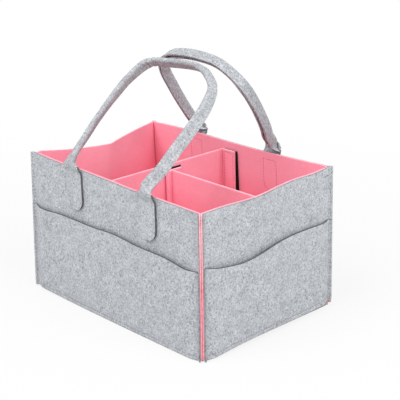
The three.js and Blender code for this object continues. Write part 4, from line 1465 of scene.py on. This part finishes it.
def stageMaterial():
    # pale paper sweep: mostly its own white for the camera, so that only the soft shadow shows,
    # and pure white further out
    material, tree = newMaterial("white_sweep")
    coords = addNode(tree, "ShaderNodeTexCoord").outputs["Object"]
    distance = addNode(tree, "ShaderNodeVectorMath", {"operation": "LENGTH"}, links={0: coords})
    paperRange = {
        "From Min": stage["nearPaper"], "From Max": stage["farPaper"],
        "To Min": stage["whiteShare"], "To Max": 1.0,
    }
    white = addNode(
        tree, "ShaderNodeMapRange", {"interpolation_type": "SMOOTHSTEP"}, paperRange,
        {"Value": distance.outputs["Value"]})
    share = addNode(
        tree, "ShaderNodeMath", {"operation": "MULTIPLY"}, {},
        {0: seenShare(tree), 1: white.outputs["Result"]})
    paper = addNode(tree, "ShaderNodeBsdfDiffuse", values={"Color": srgb(stage["paper"])})
    glow = addNode(tree, "ShaderNodeEmission", values={"Color": (1, 1, 1, 1), "Strength": 1.0})
    mixed = addNode(
        tree, "ShaderNodeMixShader", links={0: share.outputs[0], 1: paper.outputs[0], 2: glow.outputs[0]})
    addNode(tree, "ShaderNodeOutputMaterial", links={"Surface": mixed.outputs[0]})
    return material


stage = {
    "radius": 3.0, "paper": "#d2d2d2",
    "whiteShare": 0.84, "nearPaper": 0.25, "farPaper": 0.9,
    "sky": 0.7,
    "aim": (0, 0, 0.12),
    "key": {"place": (-0.15, -1.45, 2.4), "size": 1.8, "power": 47.0},
    "fill": {"place": (2.1, 0.1, 1.85), "size": 1.8, "power": 37.0},
}
turns = np.linspace(0, 2 * np.pi, 65)[:-1]
ring = [(stage["radius"] * math.cos(a), stage["radius"] * math.sin(a), 0.0) for a in turns]
sweepMesh = bpy.data.meshes.new("sweep")
sweepMesh.from_pydata(ring, [], [tuple(range(len(ring)))])
sweepMesh.materials.append(stageMaterial())
addObject("sweep", sweepMesh)

world = bpy.data.worlds.new("studio")
bpy.context.scene.world = world
world.use_nodes = True
tree = world.node_tree
tree.nodes.clear()
lit, white = (
    addNode(tree, "ShaderNodeBackground", values={"Color": (1, 1, 1, 1), "Strength": strength}).outputs[0]
    for strength in (stage["sky"], 1.0)
)
mixed = addNode(tree, "ShaderNodeMixShader", links={0: seenShare(tree), 1: lit, 2: white})
addNode(tree, "ShaderNodeOutputWorld", links={"Surface": mixed.outputs[0]})

for name in ("key", "fill"):
    lamp = stage[name]
    light = bpy.data.lights.new(name, "AREA")
    light.shape = "DISK"
    light.size = lamp["size"]
    light.energy = lamp["power"]
    holder = addObject(name, light)
    holder.location = lamp["place"]
    aim = Vector(stage["aim"]) - Vector(lamp["place"])
    holder.rotation_mode = "QUATERNION"
    holder.rotation_quaternion = aim.to_track_quat("-Z", "Y")

view = {
    "azimuth": 46.97, "elevation": 19.82, "roll": -1.43, "fov": 18.29,      # degrees
    "distance": 1719.0, "target": (-64.5, 100.4, 90.0), "sensor": 36.0,     # mm
    "near": 0.05, "far": 50.0,                                              # m
}
azimuth, elevation, roll = (math.radians(view[key]) for key in ("azimuth", "elevation", "roll"))
level = math.cos(elevation)
away = Vector((math.sin(azimuth) * level, -math.cos(azimuth) * level, math.sin(elevation)))
right = (-away).cross(Vector((0, 0, 1))).normalized()
up = right.cross(-away)
rolledRight = right * math.cos(roll) + up * math.sin(roll)
rolledUp = up * math.cos(roll) - right * math.sin(roll)
cameraData = bpy.data.cameras.new("camera")
cameraData.sensor_width = view["sensor"]
cameraData.lens = view["sensor"] / 2 / math.tan(math.radians(view["fov"]) / 2)
cameraData.clip_start, cameraData.clip_end = view["near"], view["far"]
camera = addObject("camera", cameraData)
turn = Matrix((rolledRight, rolledUp, away)).transposed().to_4x4()
camera.matrix_world = Matrix.Translation((Vector(view["target"]) + away * view["distance"]) * mm) @ turn
bpy.context.scene.camera = camera
bpy.context.scene.view_settings.view_transform = "Standard"
print("stage, lights and camera set")
